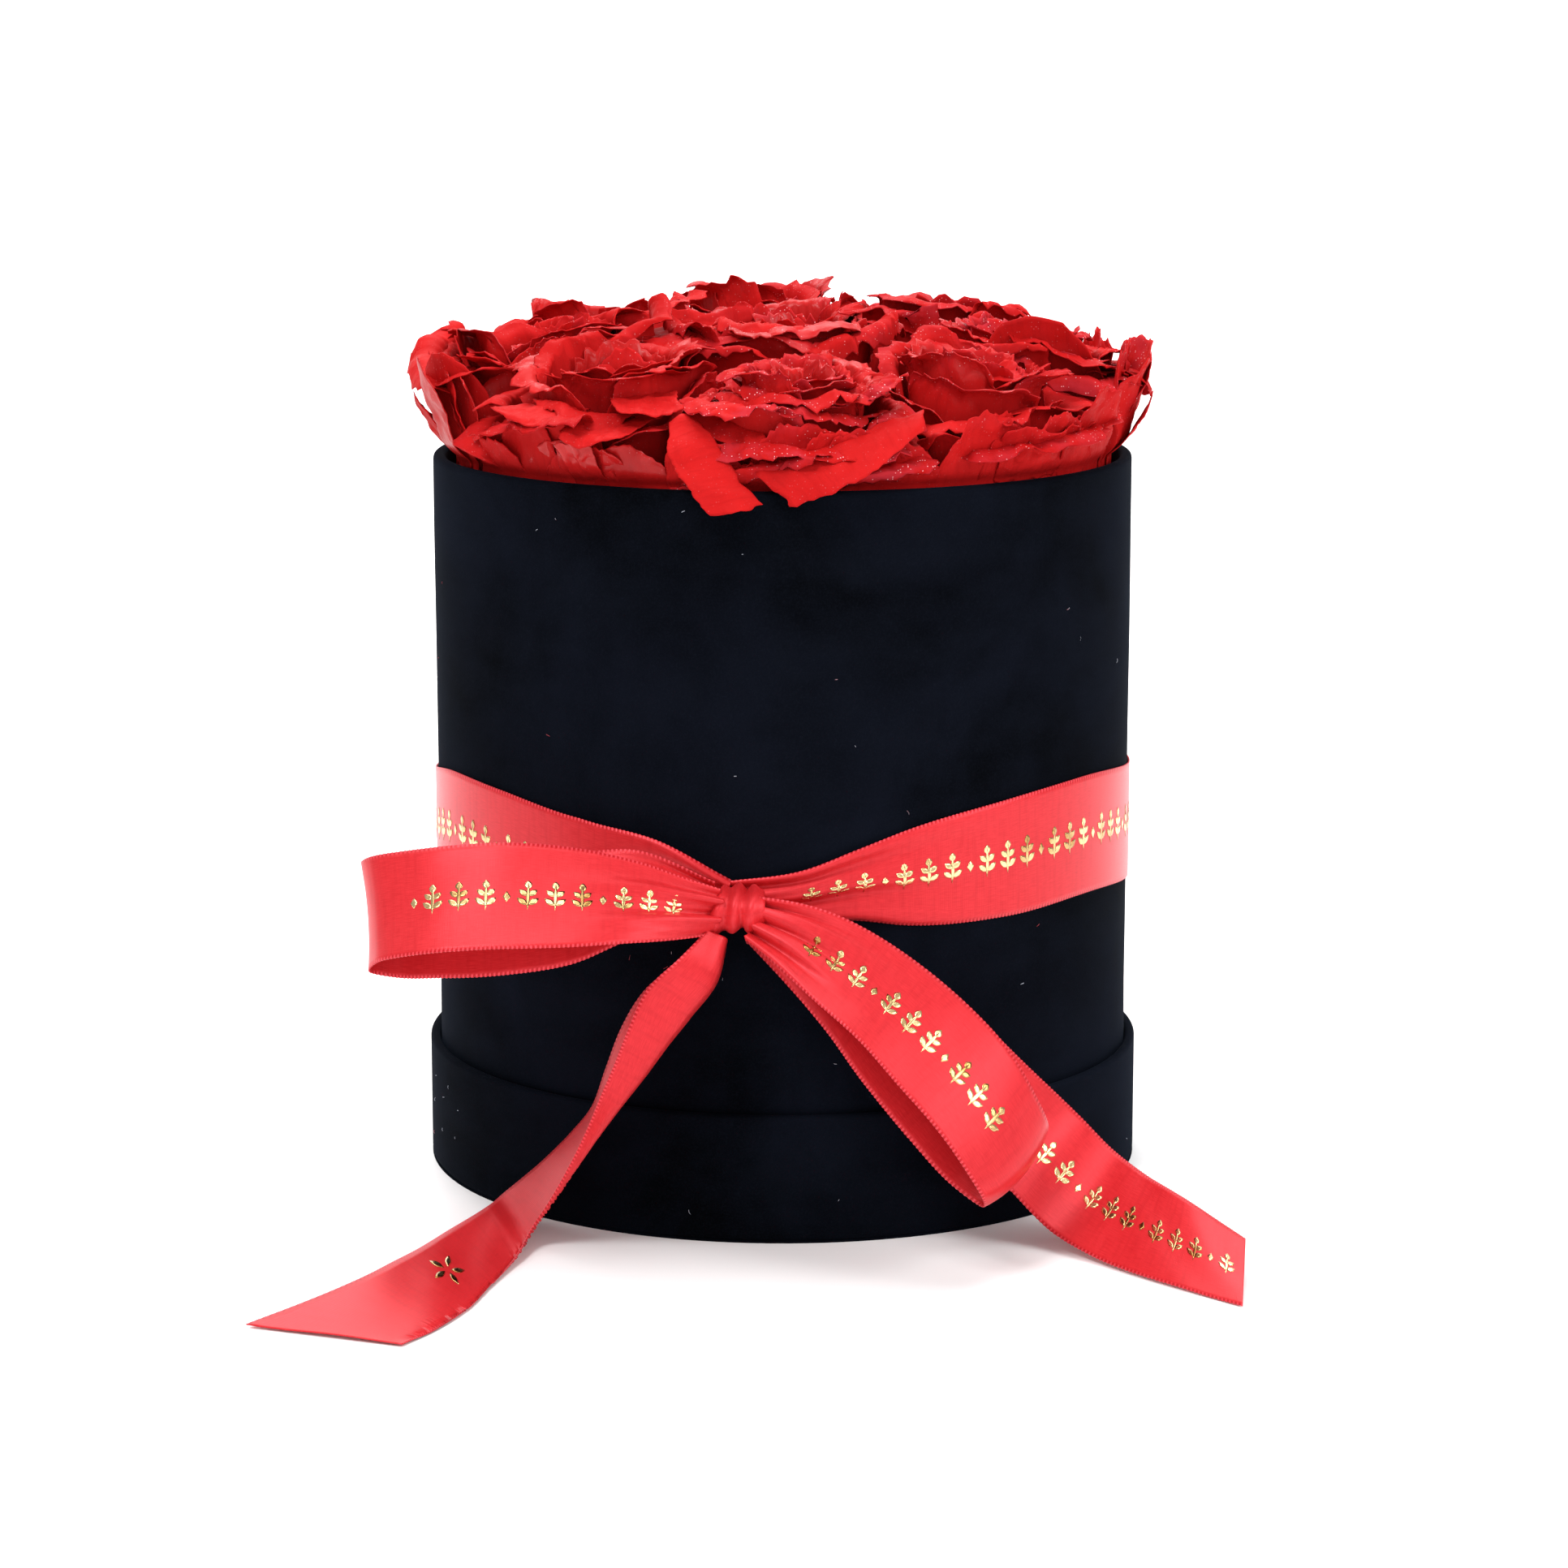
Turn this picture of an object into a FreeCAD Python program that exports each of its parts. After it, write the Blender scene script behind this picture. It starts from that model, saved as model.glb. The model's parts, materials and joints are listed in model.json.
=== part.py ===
import FreeCAD, Part
import math
import os

# Round flower box: a velvet-covered board tube standing in its own upturned lid,
# tied with a satin ribbon and filled with roses pushed into a block of floral foam.
# Millimetres, +Z up, -Y is the side with the bow.
# The origin is the centre of the underside of the upturned lid, on the surface it stands on.

V = FreeCAD.Vector
UP = V(0, 0, 1)

# Driving dimensions.
body_diameter = 150.0
body_height = 151.4
lid_height = 26.8
ribbon_width = 25.0
foam_drop = 22.0
head_height = 45.0
band_height = 68.0
ring_roses = 8

# Sheet and board thicknesses.
velvet = 0.5
body_board = 1.8
base_board = 2.0
paper = 0.2
lid_velvet = 0.4
lid_board = 1.3
lid_base_board = 1.6
film = 0.2
ribbon = 0.4

# Named clearances.
slip_gap = 0.4
body_gap = 0.3
touch_gap = 0.05
insert_gap = 0.4
petal_gap = 0.6
stem_gap = 0.05
floor_gap = 0.3

# The tube, from the outside in.
body_r = body_diameter / 2
board_r = body_r - velvet
bore_r = board_r - body_board
throat_r = bore_r - velvet
turn_in = 14.0
turn_under = 15.0

# The upturned lid, from the inside out.
lid_bore_r = body_r + slip_gap
lid_board_in_r = lid_bore_r + paper
lid_board_out_r = lid_board_in_r + lid_board
lid_r = lid_board_out_r + lid_velvet
lid_fold_r = lid_board_in_r - body_gap
lid_fold = 10.0
lid_floor_top = lid_velvet + lid_base_board + paper

# Levels of the tube and of what stands in it.
body_bottom = lid_floor_top + body_gap
rim = body_bottom + body_height
floor_top = body_bottom + velvet + base_board
well_floor = floor_top + paper
insert_bottom = well_floor + body_gap
foam_top = rim - foam_drop
film_r = throat_r - insert_gap
foam_r = film_r - film - touch_gap

# Roses.
lead_angle = 3.5
stem_r = 3.0
stem_in_foam = 34.0
hole_depth = stem_in_foam + 1.0
calyx_r = 6.5
calyx_height = 4.0
cheek_r = (throat_r - 2 * petal_gap) / 3
ring_r = 2 * cheek_r + petal_gap
centre_flat = cheek_r
bloom_flare = 1.24

# Ribbon bow.
band_r = body_r + touch_gap
band_out_r = band_r + ribbon
knot_z = body_bottom + band_height
knot_x = -9.5
knot_turn = math.degrees(math.asin(knot_x / body_r))
knot_half = 6.8
knot_r = 5.6
knot_bite = 0.3


def disc(radius, bottom, height):
    return Part.makeCylinder(radius, height, V(0, 0, bottom))


def ring(outer, inner, bottom, top):
    return disc(outer, bottom, top - bottom).cut(disc(inner, bottom, top - bottom))


def union(shapes):
    whole = shapes[0]
    for shape in shapes[1:]:
        whole = whole.fuse(shape)
    return whole.removeSplitter()


def export(shape, node):
    shape.exportStep("parts/" + node + ".step")


# Upturned lid: a board ring and disc, covered outside in velvet that turns in over the rim.
def make_lid():
    rim_board = lid_height - lid_velvet
    export(ring(lid_board_out_r, lid_board_in_r, lid_velvet, rim_board), "lid_board_ring")
    board = disc(lid_board_in_r - touch_gap, lid_velvet, lid_base_board)
    export(board, "lid_board_disc")
    side = ring(lid_r, lid_board_out_r, lid_velvet, lid_height)
    over = ring(lid_board_out_r, lid_fold_r, rim_board, lid_height)
    inside = ring(lid_board_in_r, lid_fold_r, lid_height - lid_fold, rim_board)
    band = union([side, over, inside])
    corner = [e for e in band.Edges if e.BoundBox.ZMin > lid_height - 0.01 and e.Curve.Radius > lid_board_out_r]
    export(band.makeFillet(0.6 * lid_velvet, corner), "lid_velvet_band")
    export(disc(lid_r, 0, lid_velvet), "lid_velvet_disc")
    lining_top = lid_height - lid_fold - touch_gap
    export(ring(lid_board_in_r, lid_bore_r, lid_floor_top, lining_top), "lid_lining_ring")
    export(disc(lid_bore_r, lid_velvet + lid_base_board, paper), "lid_lining_disc")


# Tube with its base board; the velvet runs over the rim and under the base.
def make_body():
    board_bottom = body_bottom + velvet
    export(ring(board_r, bore_r, board_bottom, rim - velvet), "body_board_tube")
    export(disc(bore_r - touch_gap, board_bottom, base_board), "body_board_disc")
    side = ring(body_r, board_r, body_bottom, rim)
    over = ring(board_r, throat_r, rim - velvet, rim)
    inside = ring(bore_r, throat_r, rim - turn_in, rim - velvet)
    under = ring(board_r, body_r - turn_under, body_bottom, board_bottom)
    wrap = union([side, over, inside, under])
    corner = [e for e in wrap.Edges if e.BoundBox.ZMin > rim - 0.01 and e.Curve.Radius > board_r]
    export(wrap.makeFillet(0.8 * velvet, corner), "body_velvet_wrap")
    export(disc(body_r - turn_under - touch_gap, body_bottom, velvet), "body_base_cover")
    lining_top = rim - turn_in - touch_gap
    export(ring(bore_r, bore_r - paper, well_floor, lining_top), "body_lining_tube")
    export(disc(bore_r, floor_top, paper), "body_lining_disc")


# Foam block with a hole for each stem, wrapped in clear film on its side and base.
def make_insert(seats):
    foam_bottom = insert_bottom + film
    block = disc(foam_r, foam_bottom, foam_top - foam_bottom)
    for seat in seats:
        hole = Part.makeCylinder(stem_r + stem_gap, hole_depth, V(seat.x, seat.y, foam_top - hole_depth))
        block = block.cut(hole)
    export(block, "foam_block")
    wall = ring(film_r, film_r - film, insert_bottom, foam_top)
    export(union([wall, disc(film_r, insert_bottom, film)]), "foam_film_wrap")


# Side of a rose head, as radius and height above the calyx.
def head_profile(height):
    throat = foam_drop - calyx_height - body_gap
    span = height - throat
    return [
        (0.9 * calyx_r, 0),
        (0.82 * cheek_r, 0.4 * throat),
        (cheek_r, throat),
        (0.99 * bloom_flare * cheek_r, throat + 0.4 * span),
        (bloom_flare * cheek_r, throat + 0.62 * span),
        (1.0 * cheek_r, throat + 0.88 * span),
        (0.45 * cheek_r, height),
    ]


def revolved(profile, base):
    points = [V(0, 0, profile[0][1])]
    points += [V(r, 0, z) for r, z in profile]
    points += [V(0, 0, profile[-1][1]), points[0]]
    face = Part.Face(Part.makePolygon(points))
    return face.revolve(V(0, 0, 0), UP, 360).translated(base)


# Keeps each head inside its own share of the bouquet, so that every rose lifts out alone.
def ring_cell(angle):
    half = math.pi / ring_roses
    reach = 2 * body_r
    inner = centre_flat + petal_gap
    side_gap = petal_gap / 2 / math.cos(half)
    corners = [
        V(inner, -(inner * math.tan(half) - side_gap), 0),
        V(reach, -(reach * math.tan(half) - side_gap), 0),
        V(reach, reach * math.tan(half) - side_gap, 0),
        V(inner, inner * math.tan(half) - side_gap, 0),
    ]
    cell = Part.Face(Part.makePolygon(corners + corners[:1])).extrude(V(0, 0, 2 * rim))
    return cell.rotated(V(0, 0, 0), UP, angle)


def centre_cell():
    corner_r = centre_flat / math.cos(math.pi / ring_roses)
    corners = []
    for k in range(ring_roses):
        turn = math.radians(lead_angle - 90) + (k + 0.5) * 2 * math.pi / ring_roses
        corners.append(V(corner_r * math.cos(turn), corner_r * math.sin(turn), 0))
    return Part.Face(Part.makePolygon(corners + corners[:1])).extrude(V(0, 0, 2 * rim))


def make_rose(number, seat, height, cell):
    name = "rose_" + str(number)
    calyx_bottom = foam_top + body_gap
    head_bottom = calyx_bottom + calyx_height
    head = revolved(head_profile(height), V(seat.x, seat.y, head_bottom))
    export(head.common(cell), name + "_head")
    calyx = Part.makeCone(1.1 * stem_r, 0.85 * calyx_r, calyx_height, V(seat.x, seat.y, calyx_bottom))
    export(calyx, name + "_calyx")
    stem_bottom = foam_top - stem_in_foam
    stem = Part.makeCylinder(stem_r, calyx_bottom - stem_bottom, V(seat.x, seat.y, stem_bottom))
    export(stem, name + "_stem")


# One long edge of a strip, as two halves that meet at its middle station.
def rail(points, marks):
    curve = Part.BSplineCurve()
    curve.interpolate(Points=points, Parameters=marks)
    middle = marks[len(marks) // 2]
    return [curve.toShape(marks[0], middle), curve.toShape(middle, marks[-1])]


# A ribbon strip through stations of centre, width direction and width.
def strip(stations):
    centres = [s[0] for s in stations]
    corners = [[], [], [], []]
    marks = [0.0]
    for i, (centre, across, width) in enumerate(stations):
        ahead = centres[min(i + 1, len(centres) - 1)]
        behind = centres[max(i - 1, 0)]
        along = (ahead - behind).normalize()
        normal = along.cross(across).normalize()
        side = across * (width / 2)
        face = normal * (ribbon / 2)
        corners[0].append(centre - side - face)
        corners[1].append(centre + side - face)
        corners[2].append(centre + side + face)
        corners[3].append(centre - side + face)
        if i:
            marks.append(marks[-1] + (centre - behind_centre).Length)
        behind_centre = centre
    rails = [rail(points, marks) for points in corners]
    faces = []
    for k in range(4):
        for near, far in zip(rails[k], rails[(k + 1) % 4]):
            faces.append(Part.makeRuledSurface(near, far))
    for end in (0, -1):
        cap = [points[end] for points in corners]
        faces.append(Part.Face(Part.makePolygon(cap + cap[:1])))
    shell = Part.makeShell(faces)
    shell.sewShape()
    solid = Part.makeSolid(shell)
    if solid.Volume < 0:
        solid.reverse()
    return solid


# How far the right loop stands off the tail beneath it, as a share of the ribbon's width.
loop_cover = 0.2

# Stations of the bow, chosen by hand: across, outwards from the front of the tube, up,
# the width direction and the share of the full width. Heights follow the knot. A part
# that lies over another also stands out by its cover, a share of its own width.
bow_level = 70.5


def bow(rows, cover=0.0):
    stations = []
    for across, outwards, up, direction, share in rows:
        width = share * ribbon_width
        side = V(*direction).normalize()
        y = -(body_r + outwards + cover * width)
        z = up * knot_z / bow_level
        lowest = floor_gap + abs(side.z) * width / 2 + ribbon / 2
        stations.append((V(across, y, max(z, lowest)), side, width))
    return strip(stations)


def make_bow():
    loop_left = [
        (-12.5, 9, 71, (0.1, 0.3, 0.95), 0.36),
        (-19, 12.5, 72.6, (0, 0.5, 0.85), 0.5),
        (-28, 16, 74.6, (0, 0.66, 0.75), 0.72),
        (-42, 19.5, 76.3, (0, 0.74, 0.67), 0.96),
        (-58, 20.5, 76.8, (0, 0.72, 0.69), 1),
        (-73, 17.5, 74.8, (-0.05, 0.72, 0.69), 1),
        (-81.5, 12, 72, (-0.1, 0.7, 0.7), 1),
        (-83.3, 6, 69, (-0.1, 0.66, 0.74), 1),
        (-79, 2.5, 67.5, (-0.1, 0.62, 0.78), 1),
        (-68, 5.5, 68.3, (0, 0.6, 0.8), 1),
        (-55, 8, 69.6, (0, 0.6, 0.8), 1),
        (-42, 8, 71.3, (0, 0.58, 0.81), 0.96),
        (-29, 6.5, 74, (0, 0.45, 0.89), 0.72),
        (-13.5, 5.5, 71.5, (0, 0.3, 0.95), 0.36),
    ]
    loop_right = [
        (-6, 7.7, 69.5, (0.3, 0.4, 0.86), 0.36),
        (1.5, 10.2, 67, (0.4, 0.5, 0.76), 0.56),
        (10.5, 12.5, 62.3, (0.45, 0.65, 0.61), 0.8),
        (20.5, 15.2, 55.6, (0.5, 0.72, 0.47), 0.96),
        (29.8, 18, 47.2, (0.6, 0.66, 0.45), 1),
        (37.5, 20, 38.8, (0.62, 0.65, 0.44), 1),
        (43.2, 20, 30, (0.58, 0.69, 0.43), 1),
        (46.4, 17.5, 23.2, (0.55, 0.72, 0.43), 1),
        (46.3, 12.5, 20.4, (0.55, 0.72, 0.43), 1),
        (41.5, 9, 23.5, (0.6, 0.66, 0.45), 1),
        (33.2, 7, 33, (0.66, 0.58, 0.47), 1),
        (24.4, 6, 43.7, (0.62, 0.6, 0.5), 1),
        (14.5, 5.1, 54.5, (0.5, 0.6, 0.62), 0.88),
        (4, 4.3, 63, (0.4, 0.5, 0.76), 0.64),
        (-6, 4.7, 69, (0.3, 0.4, 0.86), 0.36),
    ]
    tail_right = [
        (-6, 4.3, 67.5, (0.3, 0.3, 0.9), 0.32),
        (4, 4.8, 64, (0.35, 0.3, 0.88), 0.44),
        (15, 5, 57.5, (0.5, 0.42, 0.75), 0.64),
        (24.5, 4, 49, (0.6, 0.55, 0.58), 0.8),
        (33.6, 1, 39, (0.62, 0.66, 0.42), 0.96),
        (45, -3.8, 26.4, (0.62, 0.67, 0.4), 1),
        (54.5, -6.5, 16.2, (0.6, 0.66, 0.45), 1),
        (61.2, -2, 10.2, (0.55, 0.68, 0.48), 1),
        (67.8, 6, 7.6, (0.45, 0.75, 0.48), 1),
        (74.8, 15, 6.4, (0.32, 0.83, 0.45), 1),
        (82.2, 23.5, 5.3, (0.2, 0.9, 0.38), 1),
        (91, 32.5, 3.5, (0.12, 0.96, 0.24), 1),
    ]
    tail_left = [
        (-12, 8, 66.5, (-0.8, 0.1, 0.6), 0.28),
        (-16.8, 11, 60.2, (-0.85, 0.1, 0.45), 0.42),
        (-23.2, 13, 51.8, (-0.88, 0.2, 0.3), 0.5),
        (-29.2, 14, 42.2, (-0.85, 0.4, 0.2), 0.42),
        (-34.4, 13.5, 33.4, (-0.7, 0.7, 0.1), 0.38),
        (-38.8, 12, 25.6, (-0.5, 0.85, 0.1), 0.42),
        (-43.4, 9.5, 18.4, (-0.4, 0.9, 0.15), 0.54),
        (-48.4, 7.5, 11.2, (-0.34, 0.92, 0.2), 0.72),
        (-53.2, 7, 6.2, (-0.32, 0.93, 0.18), 0.9),
        (-57.8, 10.5, 3.2, (-0.34, 0.93, 0.14), 1),
        (-63, 20.5, 2.2, (-0.45, 0.88, 0.12), 1),
        (-69, 36, 2.2, (-0.6, 0.78, 0.13), 1),
        (-76, 50.5, 2, (-0.73, 0.67, 0.12), 1.04),
        (-88, 63, 0.9, (-0.93, 0.37, 0), 1.3),
    ]
    export(bow(loop_left), "ribbon_loop_left")
    export(bow(loop_right, loop_cover), "ribbon_loop_right")
    export(bow(tail_right), "ribbon_tail_right")
    export(bow(tail_left), "ribbon_tail_left")


# Height above the knot and share of the full width of the band, by angle from the knot.
def band_at(angle):
    rows = [
        (0, 0, 0.4),
        (11, 1.7, 0.44),
        (19, 3.7, 0.58),
        (27, 4.6, 0.78),
        (45, 6.2, 0.97),
        (64, 7.3, 1),
        (93, 4.1, 1),
        (180, 3, 1),
        (280, 2.3, 1),
        (301, 6, 1),
        (317, 5.5, 1),
        (337, 2.4, 0.98),
        (349, 2, 0.8),
        (360, 0, 0.4),
    ]
    for (start, low, narrow), (end, high, wide) in zip(rows, rows[1:]):
        if start <= angle <= end:
            t = (angle - start) / (end - start)
            return low + (high - low) * t, narrow + (wide - narrow) * t


# Ribbon around the tube, gathered where it runs into the knot.
def make_band():
    slit = 0.5
    steps = 60
    mid = band_r + ribbon / 2
    stations = []
    for k in range(steps + 1):
        angle = slit + (360 - 2 * slit) * k / steps
        lift, share = band_at(angle)
        turn = math.radians(angle + knot_turn - 90)
        centre = V(mid * math.cos(turn), mid * math.sin(turn), knot_z + lift)
        stations.append((centre, UP, share * ribbon_width))
    export(strip(stations), "ribbon_band")


# Knot: a barrel-shaped wrap around the gathered middle of the bow.
def make_knot():
    end_r = 0.74 * knot_r
    start = V(-knot_half, 0, end_r)
    end = V(knot_half, 0, end_r)
    crown = Part.Arc(start, V(0, 0, knot_r), end).toShape()
    sides = Part.makePolygon([end, V(knot_half, 0, 0), V(-knot_half, 0, 0), start])
    profile = Part.Face(Part.Wire([crown] + sides.Edges))
    barrel = profile.revolve(V(0, 0, 0), V(1, 0, 0), 360)
    rims = [e for e in barrel.Edges if e.BoundBox.XLength < 0.01 and e.BoundBox.YLength > 1]
    barrel = barrel.makeFillet(1.2, rims)
    outwards = band_out_r + knot_r - knot_bite
    barrel = barrel.translated(V(0, -outwards, knot_z))
    export(barrel.rotated(V(0, 0, 0), UP, knot_turn), "ribbon_knot")


def make_roses():
    heights = [0.9, 0.93, 0.98, 1.04, 1.06, 1.04, 1.0, 0.95]
    seats = []
    for k in range(ring_roses):
        turn = math.radians(lead_angle - 90 + 360 * k / ring_roses)
        seats.append(V(ring_r * math.cos(turn), ring_r * math.sin(turn), 0))
    seats.append(V(0, 0, 0))
    for k in range(ring_roses):
        height = heights[k % len(heights)] * head_height
        make_rose(k + 1, seats[k], height, ring_cell(lead_angle - 90 + 360 * k / ring_roses))
    make_rose(ring_roses + 1, seats[-1], 1.04 * head_height, centre_cell())
    return seats


os.makedirs("parts", exist_ok=True)
make_lid()
make_body()
make_insert(make_roses())
make_band()
make_knot()
make_bow()
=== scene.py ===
import json
import math

import bpy
import numpy as np
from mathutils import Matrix, Vector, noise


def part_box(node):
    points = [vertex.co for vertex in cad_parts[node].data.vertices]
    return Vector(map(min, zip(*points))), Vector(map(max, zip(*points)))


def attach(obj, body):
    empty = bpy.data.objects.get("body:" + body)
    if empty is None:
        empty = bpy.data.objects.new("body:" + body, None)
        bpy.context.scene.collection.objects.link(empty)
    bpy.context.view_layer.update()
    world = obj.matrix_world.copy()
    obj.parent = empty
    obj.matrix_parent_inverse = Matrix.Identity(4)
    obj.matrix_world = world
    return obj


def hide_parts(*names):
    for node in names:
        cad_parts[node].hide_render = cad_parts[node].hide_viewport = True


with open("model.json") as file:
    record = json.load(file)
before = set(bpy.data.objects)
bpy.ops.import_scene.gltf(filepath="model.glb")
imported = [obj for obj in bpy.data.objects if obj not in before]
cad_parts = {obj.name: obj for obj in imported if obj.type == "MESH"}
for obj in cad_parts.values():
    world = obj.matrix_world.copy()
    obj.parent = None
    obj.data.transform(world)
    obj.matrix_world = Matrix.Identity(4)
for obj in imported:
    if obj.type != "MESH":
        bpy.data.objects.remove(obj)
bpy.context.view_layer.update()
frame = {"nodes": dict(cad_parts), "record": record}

# Shapes are worked out in millimetres in the CAD frame and stored in metres.
MM = 0.001
UP = np.array([0.0, 0.0, 1.0])


def cad(node):
    """Lowest and highest corner of a CAD node in millimetres."""
    low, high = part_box(node)
    return np.array(low) / MM, np.array(high) / MM


# Sizes read from the frame.
wrap_low, wrap_high = cad("body_velvet_wrap")
BODY_R = wrap_high[0]
BODY_BOTTOM = wrap_low[2]
RIM = wrap_high[2]
INSERT_GAP = 0.4
THROAT_R = cad("foam_film_wrap")[1][0] + INSERT_GAP
lid_high = cad("lid_velvet_band")[1]
LID_R = lid_high[0]
LID_TOP = lid_high[2]
knot_low, knot_high = cad("ribbon_knot")
KNOT = (knot_low + knot_high) / 2
RIBBON_WIDTH = 25.0
RIBBON_THICKNESS = 0.28
FOIL_THICKNESS = 0.05
FOIL_LIFT = 0.19
PETAL_THICKNESS = 0.2
PETAL_ROOM_R = THROAT_R - 1.0
GOLDEN_ANGLE = 2.39996
RING_ROSES = sum(1 for n in frame["nodes"] if n.endswith("_stem")) - 1


# ---------------------------------------------------------------- mesh helpers

def grid_faces(rows, columns, start=0, wrap=False):
    """Quads over a grid of points stored row by row."""
    faces = []
    last = columns if wrap else columns - 1
    for i in range(rows - 1):
        for j in range(last):
            a = start + i * columns + j
            b = start + i * columns + (j + 1) % columns
            faces.append((a, b, b + columns, a + columns))
    return faces


def add_mesh(name, points, faces, material, body, uv=None, values=None, thickness=0.0):
    """One smooth-shaded piece that rides on a CAD body. uv and values are per point."""
    mesh = bpy.data.meshes.new(name)
    mesh.from_pydata((np.asarray(points) * MM).tolist(), [], faces)
    if uv is not None:
        layer = mesh.uv_layers.new(name="strip")
        index = np.zeros(len(mesh.loops), int)
        mesh.loops.foreach_get("vertex_index", index)
        layer.data.foreach_set("uv", np.asarray(uv)[index].ravel())
    for key, value in (values or {}).items():
        attribute = mesh.attributes.new(key, "FLOAT", "POINT")
        attribute.data.foreach_set("value", np.asarray(value, float).ravel())
    mesh.materials.append(material)
    mesh.shade_smooth()
    obj = add_object(name, mesh)
    if thickness:
        shell = obj.modifiers.new("thickness", "SOLIDIFY")
        shell.thickness = thickness * MM
        shell.offset = 0.0
        shell.use_even_offset = False
    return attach(obj, body)


def add_object(name, data):
    obj = bpy.data.objects.new(name, data)
    bpy.context.scene.collection.objects.link(obj)
    return obj


def unit(v):
    return v / np.maximum(np.linalg.norm(v, axis=-1, keepdims=True), 1e-9)


def smoothstep(low, high, x):
    t = np.clip((x - low) / (high - low), 0, 1)
    return t * t * (3 - 2 * t)


def wobble(points, size, seed):
    """Smooth noise from -1 to 1 at each point, with lumps about size across."""
    shift = Vector((seed * 7.31, seed * 3.17, seed * 5.71))
    flat = np.asarray(points, float).reshape(-1, 3) / size
    out = [noise.noise(Vector(p) + shift) for p in flat]
    return np.array(out).reshape(np.shape(points)[:-1])


def ripple(x, seed):
    """Smooth noise along a line of positions."""
    x = np.asarray(x, float)
    out = [noise.noise(Vector((v, seed * 13.7, seed * 2.9))) for v in x.ravel()]
    return np.array(out).reshape(x.shape)


def through(rows, marks, at):
    """Smooth curve through rows of numbers placed at marks, read at the places in at."""
    rows = np.asarray(rows, float)
    slopes = np.gradient(rows, marks, axis=0)
    k = np.clip(np.searchsorted(marks, at) - 1, 0, len(marks) - 2)
    span = (marks[k + 1] - marks[k])[..., None]
    t = ((at - marks[k])[..., None] / span)
    a, b = rows[k], rows[k + 1]
    ma, mb = slopes[k] * span, slopes[k + 1] * span
    return (
        (2 * t**3 - 3 * t**2 + 1) * a
        + (t**3 - 2 * t**2 + t) * ma
        + (-2 * t**3 + 3 * t**2) * b
        + (t**3 - t**2) * mb
    )


def distances(points):
    """How far along a line each of its points is."""
    steps = np.linalg.norm(np.diff(points, axis=0), axis=1)
    return np.concatenate([[0], np.cumsum(steps)])


def straight(rows, share):
    """Places at shares of the length of a line that runs straight from row to row."""
    rows = np.array(rows, float)
    marks = distances(rows)
    return np.stack([np.interp(share * marks[-1], marks, column) for column in rows.T], -1)


# ---------------------------------------------------------------- materials

class Material:
    """Short-hand for building a node material."""

    def __init__(self, name):
        self.material = bpy.data.materials.new(name)
        self.material.use_nodes = True
        self.nodes = self.material.node_tree.nodes
        self.links = self.material.node_tree.links
        self.nodes.clear()
        self.output = self.nodes.new("ShaderNodeOutputMaterial")
        self.shader = self.nodes.new("ShaderNodeBsdfPrincipled")
        self.links.new(self.shader.outputs[0], self.output.inputs[0])

    def set(self, **sockets):
        """Sets shader sockets, each to a value or to another node's output."""
        for key, value in sockets.items():
            self.feed(self.shader.inputs[key.replace("_", " ")], value)

    def node(self, kind, inputs=None, **properties):
        made = self.nodes.new("ShaderNode" + kind)
        for key, value in properties.items():
            setattr(made, key, value)
        for key, value in (inputs or {}).items():
            self.feed(made.inputs[key], value)
        return made

    def feed(self, socket, value):
        if isinstance(value, bpy.types.NodeSocket):
            self.links.new(value, socket)
        else:
            socket.default_value = value

    def place(self, stretch=(1, 1, 1)):
        """Places on the object in metres, stretched."""
        return self.stretched(self.node("TexCoord").outputs["Object"], stretch)

    def strip(self):
        """Places on a ribbon or petal in millimetres: across, then along."""
        return self.node("UVMap", uv_map="strip").outputs[0]

    def stretched(self, vector, stretch):
        return self.node("Mapping", {"Vector": vector, "Scale": stretch}).outputs[0]

    def attribute(self, name):
        return self.node("Attribute", attribute_name=name).outputs["Fac"]

    def noise(self, scale, detail=3.0, roughness=0.55, vector=None, distortion=0.0):
        inputs = {"Scale": scale, "Detail": detail, "Roughness": roughness, "Distortion": distortion}
        inputs["Vector"] = vector if vector is not None else self.place()
        return self.node("TexNoise", inputs).outputs["Fac"]

    def ramp(self, fac, stops):
        made = self.node("ValToRGB", {"Fac": fac})
        elements = made.color_ramp.elements
        while len(elements) < len(stops):
            elements.new(0.5)
        for element, (position, colour) in zip(elements, stops):
            element.position = position
            element.color = (*colour, 1) if len(colour) == 3 else colour
        return made.outputs["Color"]

    def grey(self, fac, low, high, start=0.0, end=1.0):
        made = self.node("MapRange", {"Value": fac, "From Min": start, "From Max": end})
        made.inputs["To Min"].default_value = low
        made.inputs["To Max"].default_value = high
        return made.outputs[0]

    def mix(self, fac, a, b, mode="MIX"):
        made = self.node("Mix", data_type="RGBA", blend_type=mode)
        self.feed(made.inputs["Factor"], fac)
        self.feed(made.inputs[6], a)
        self.feed(made.inputs[7], b)
        return made.outputs[2]

    def math(self, operation, a, b=0.0):
        made = self.node("Math", operation=operation)
        self.feed(made.inputs[0], a)
        self.feed(made.inputs[1], b)
        return made.outputs[0]

    def bump(self, height, distance, strength=1.0, normal=None):
        inputs = {"Height": height, "Distance": distance * MM, "Strength": strength}
        if normal is not None:
            inputs["Normal"] = normal
        return self.node("Bump", inputs).outputs[0]


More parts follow.
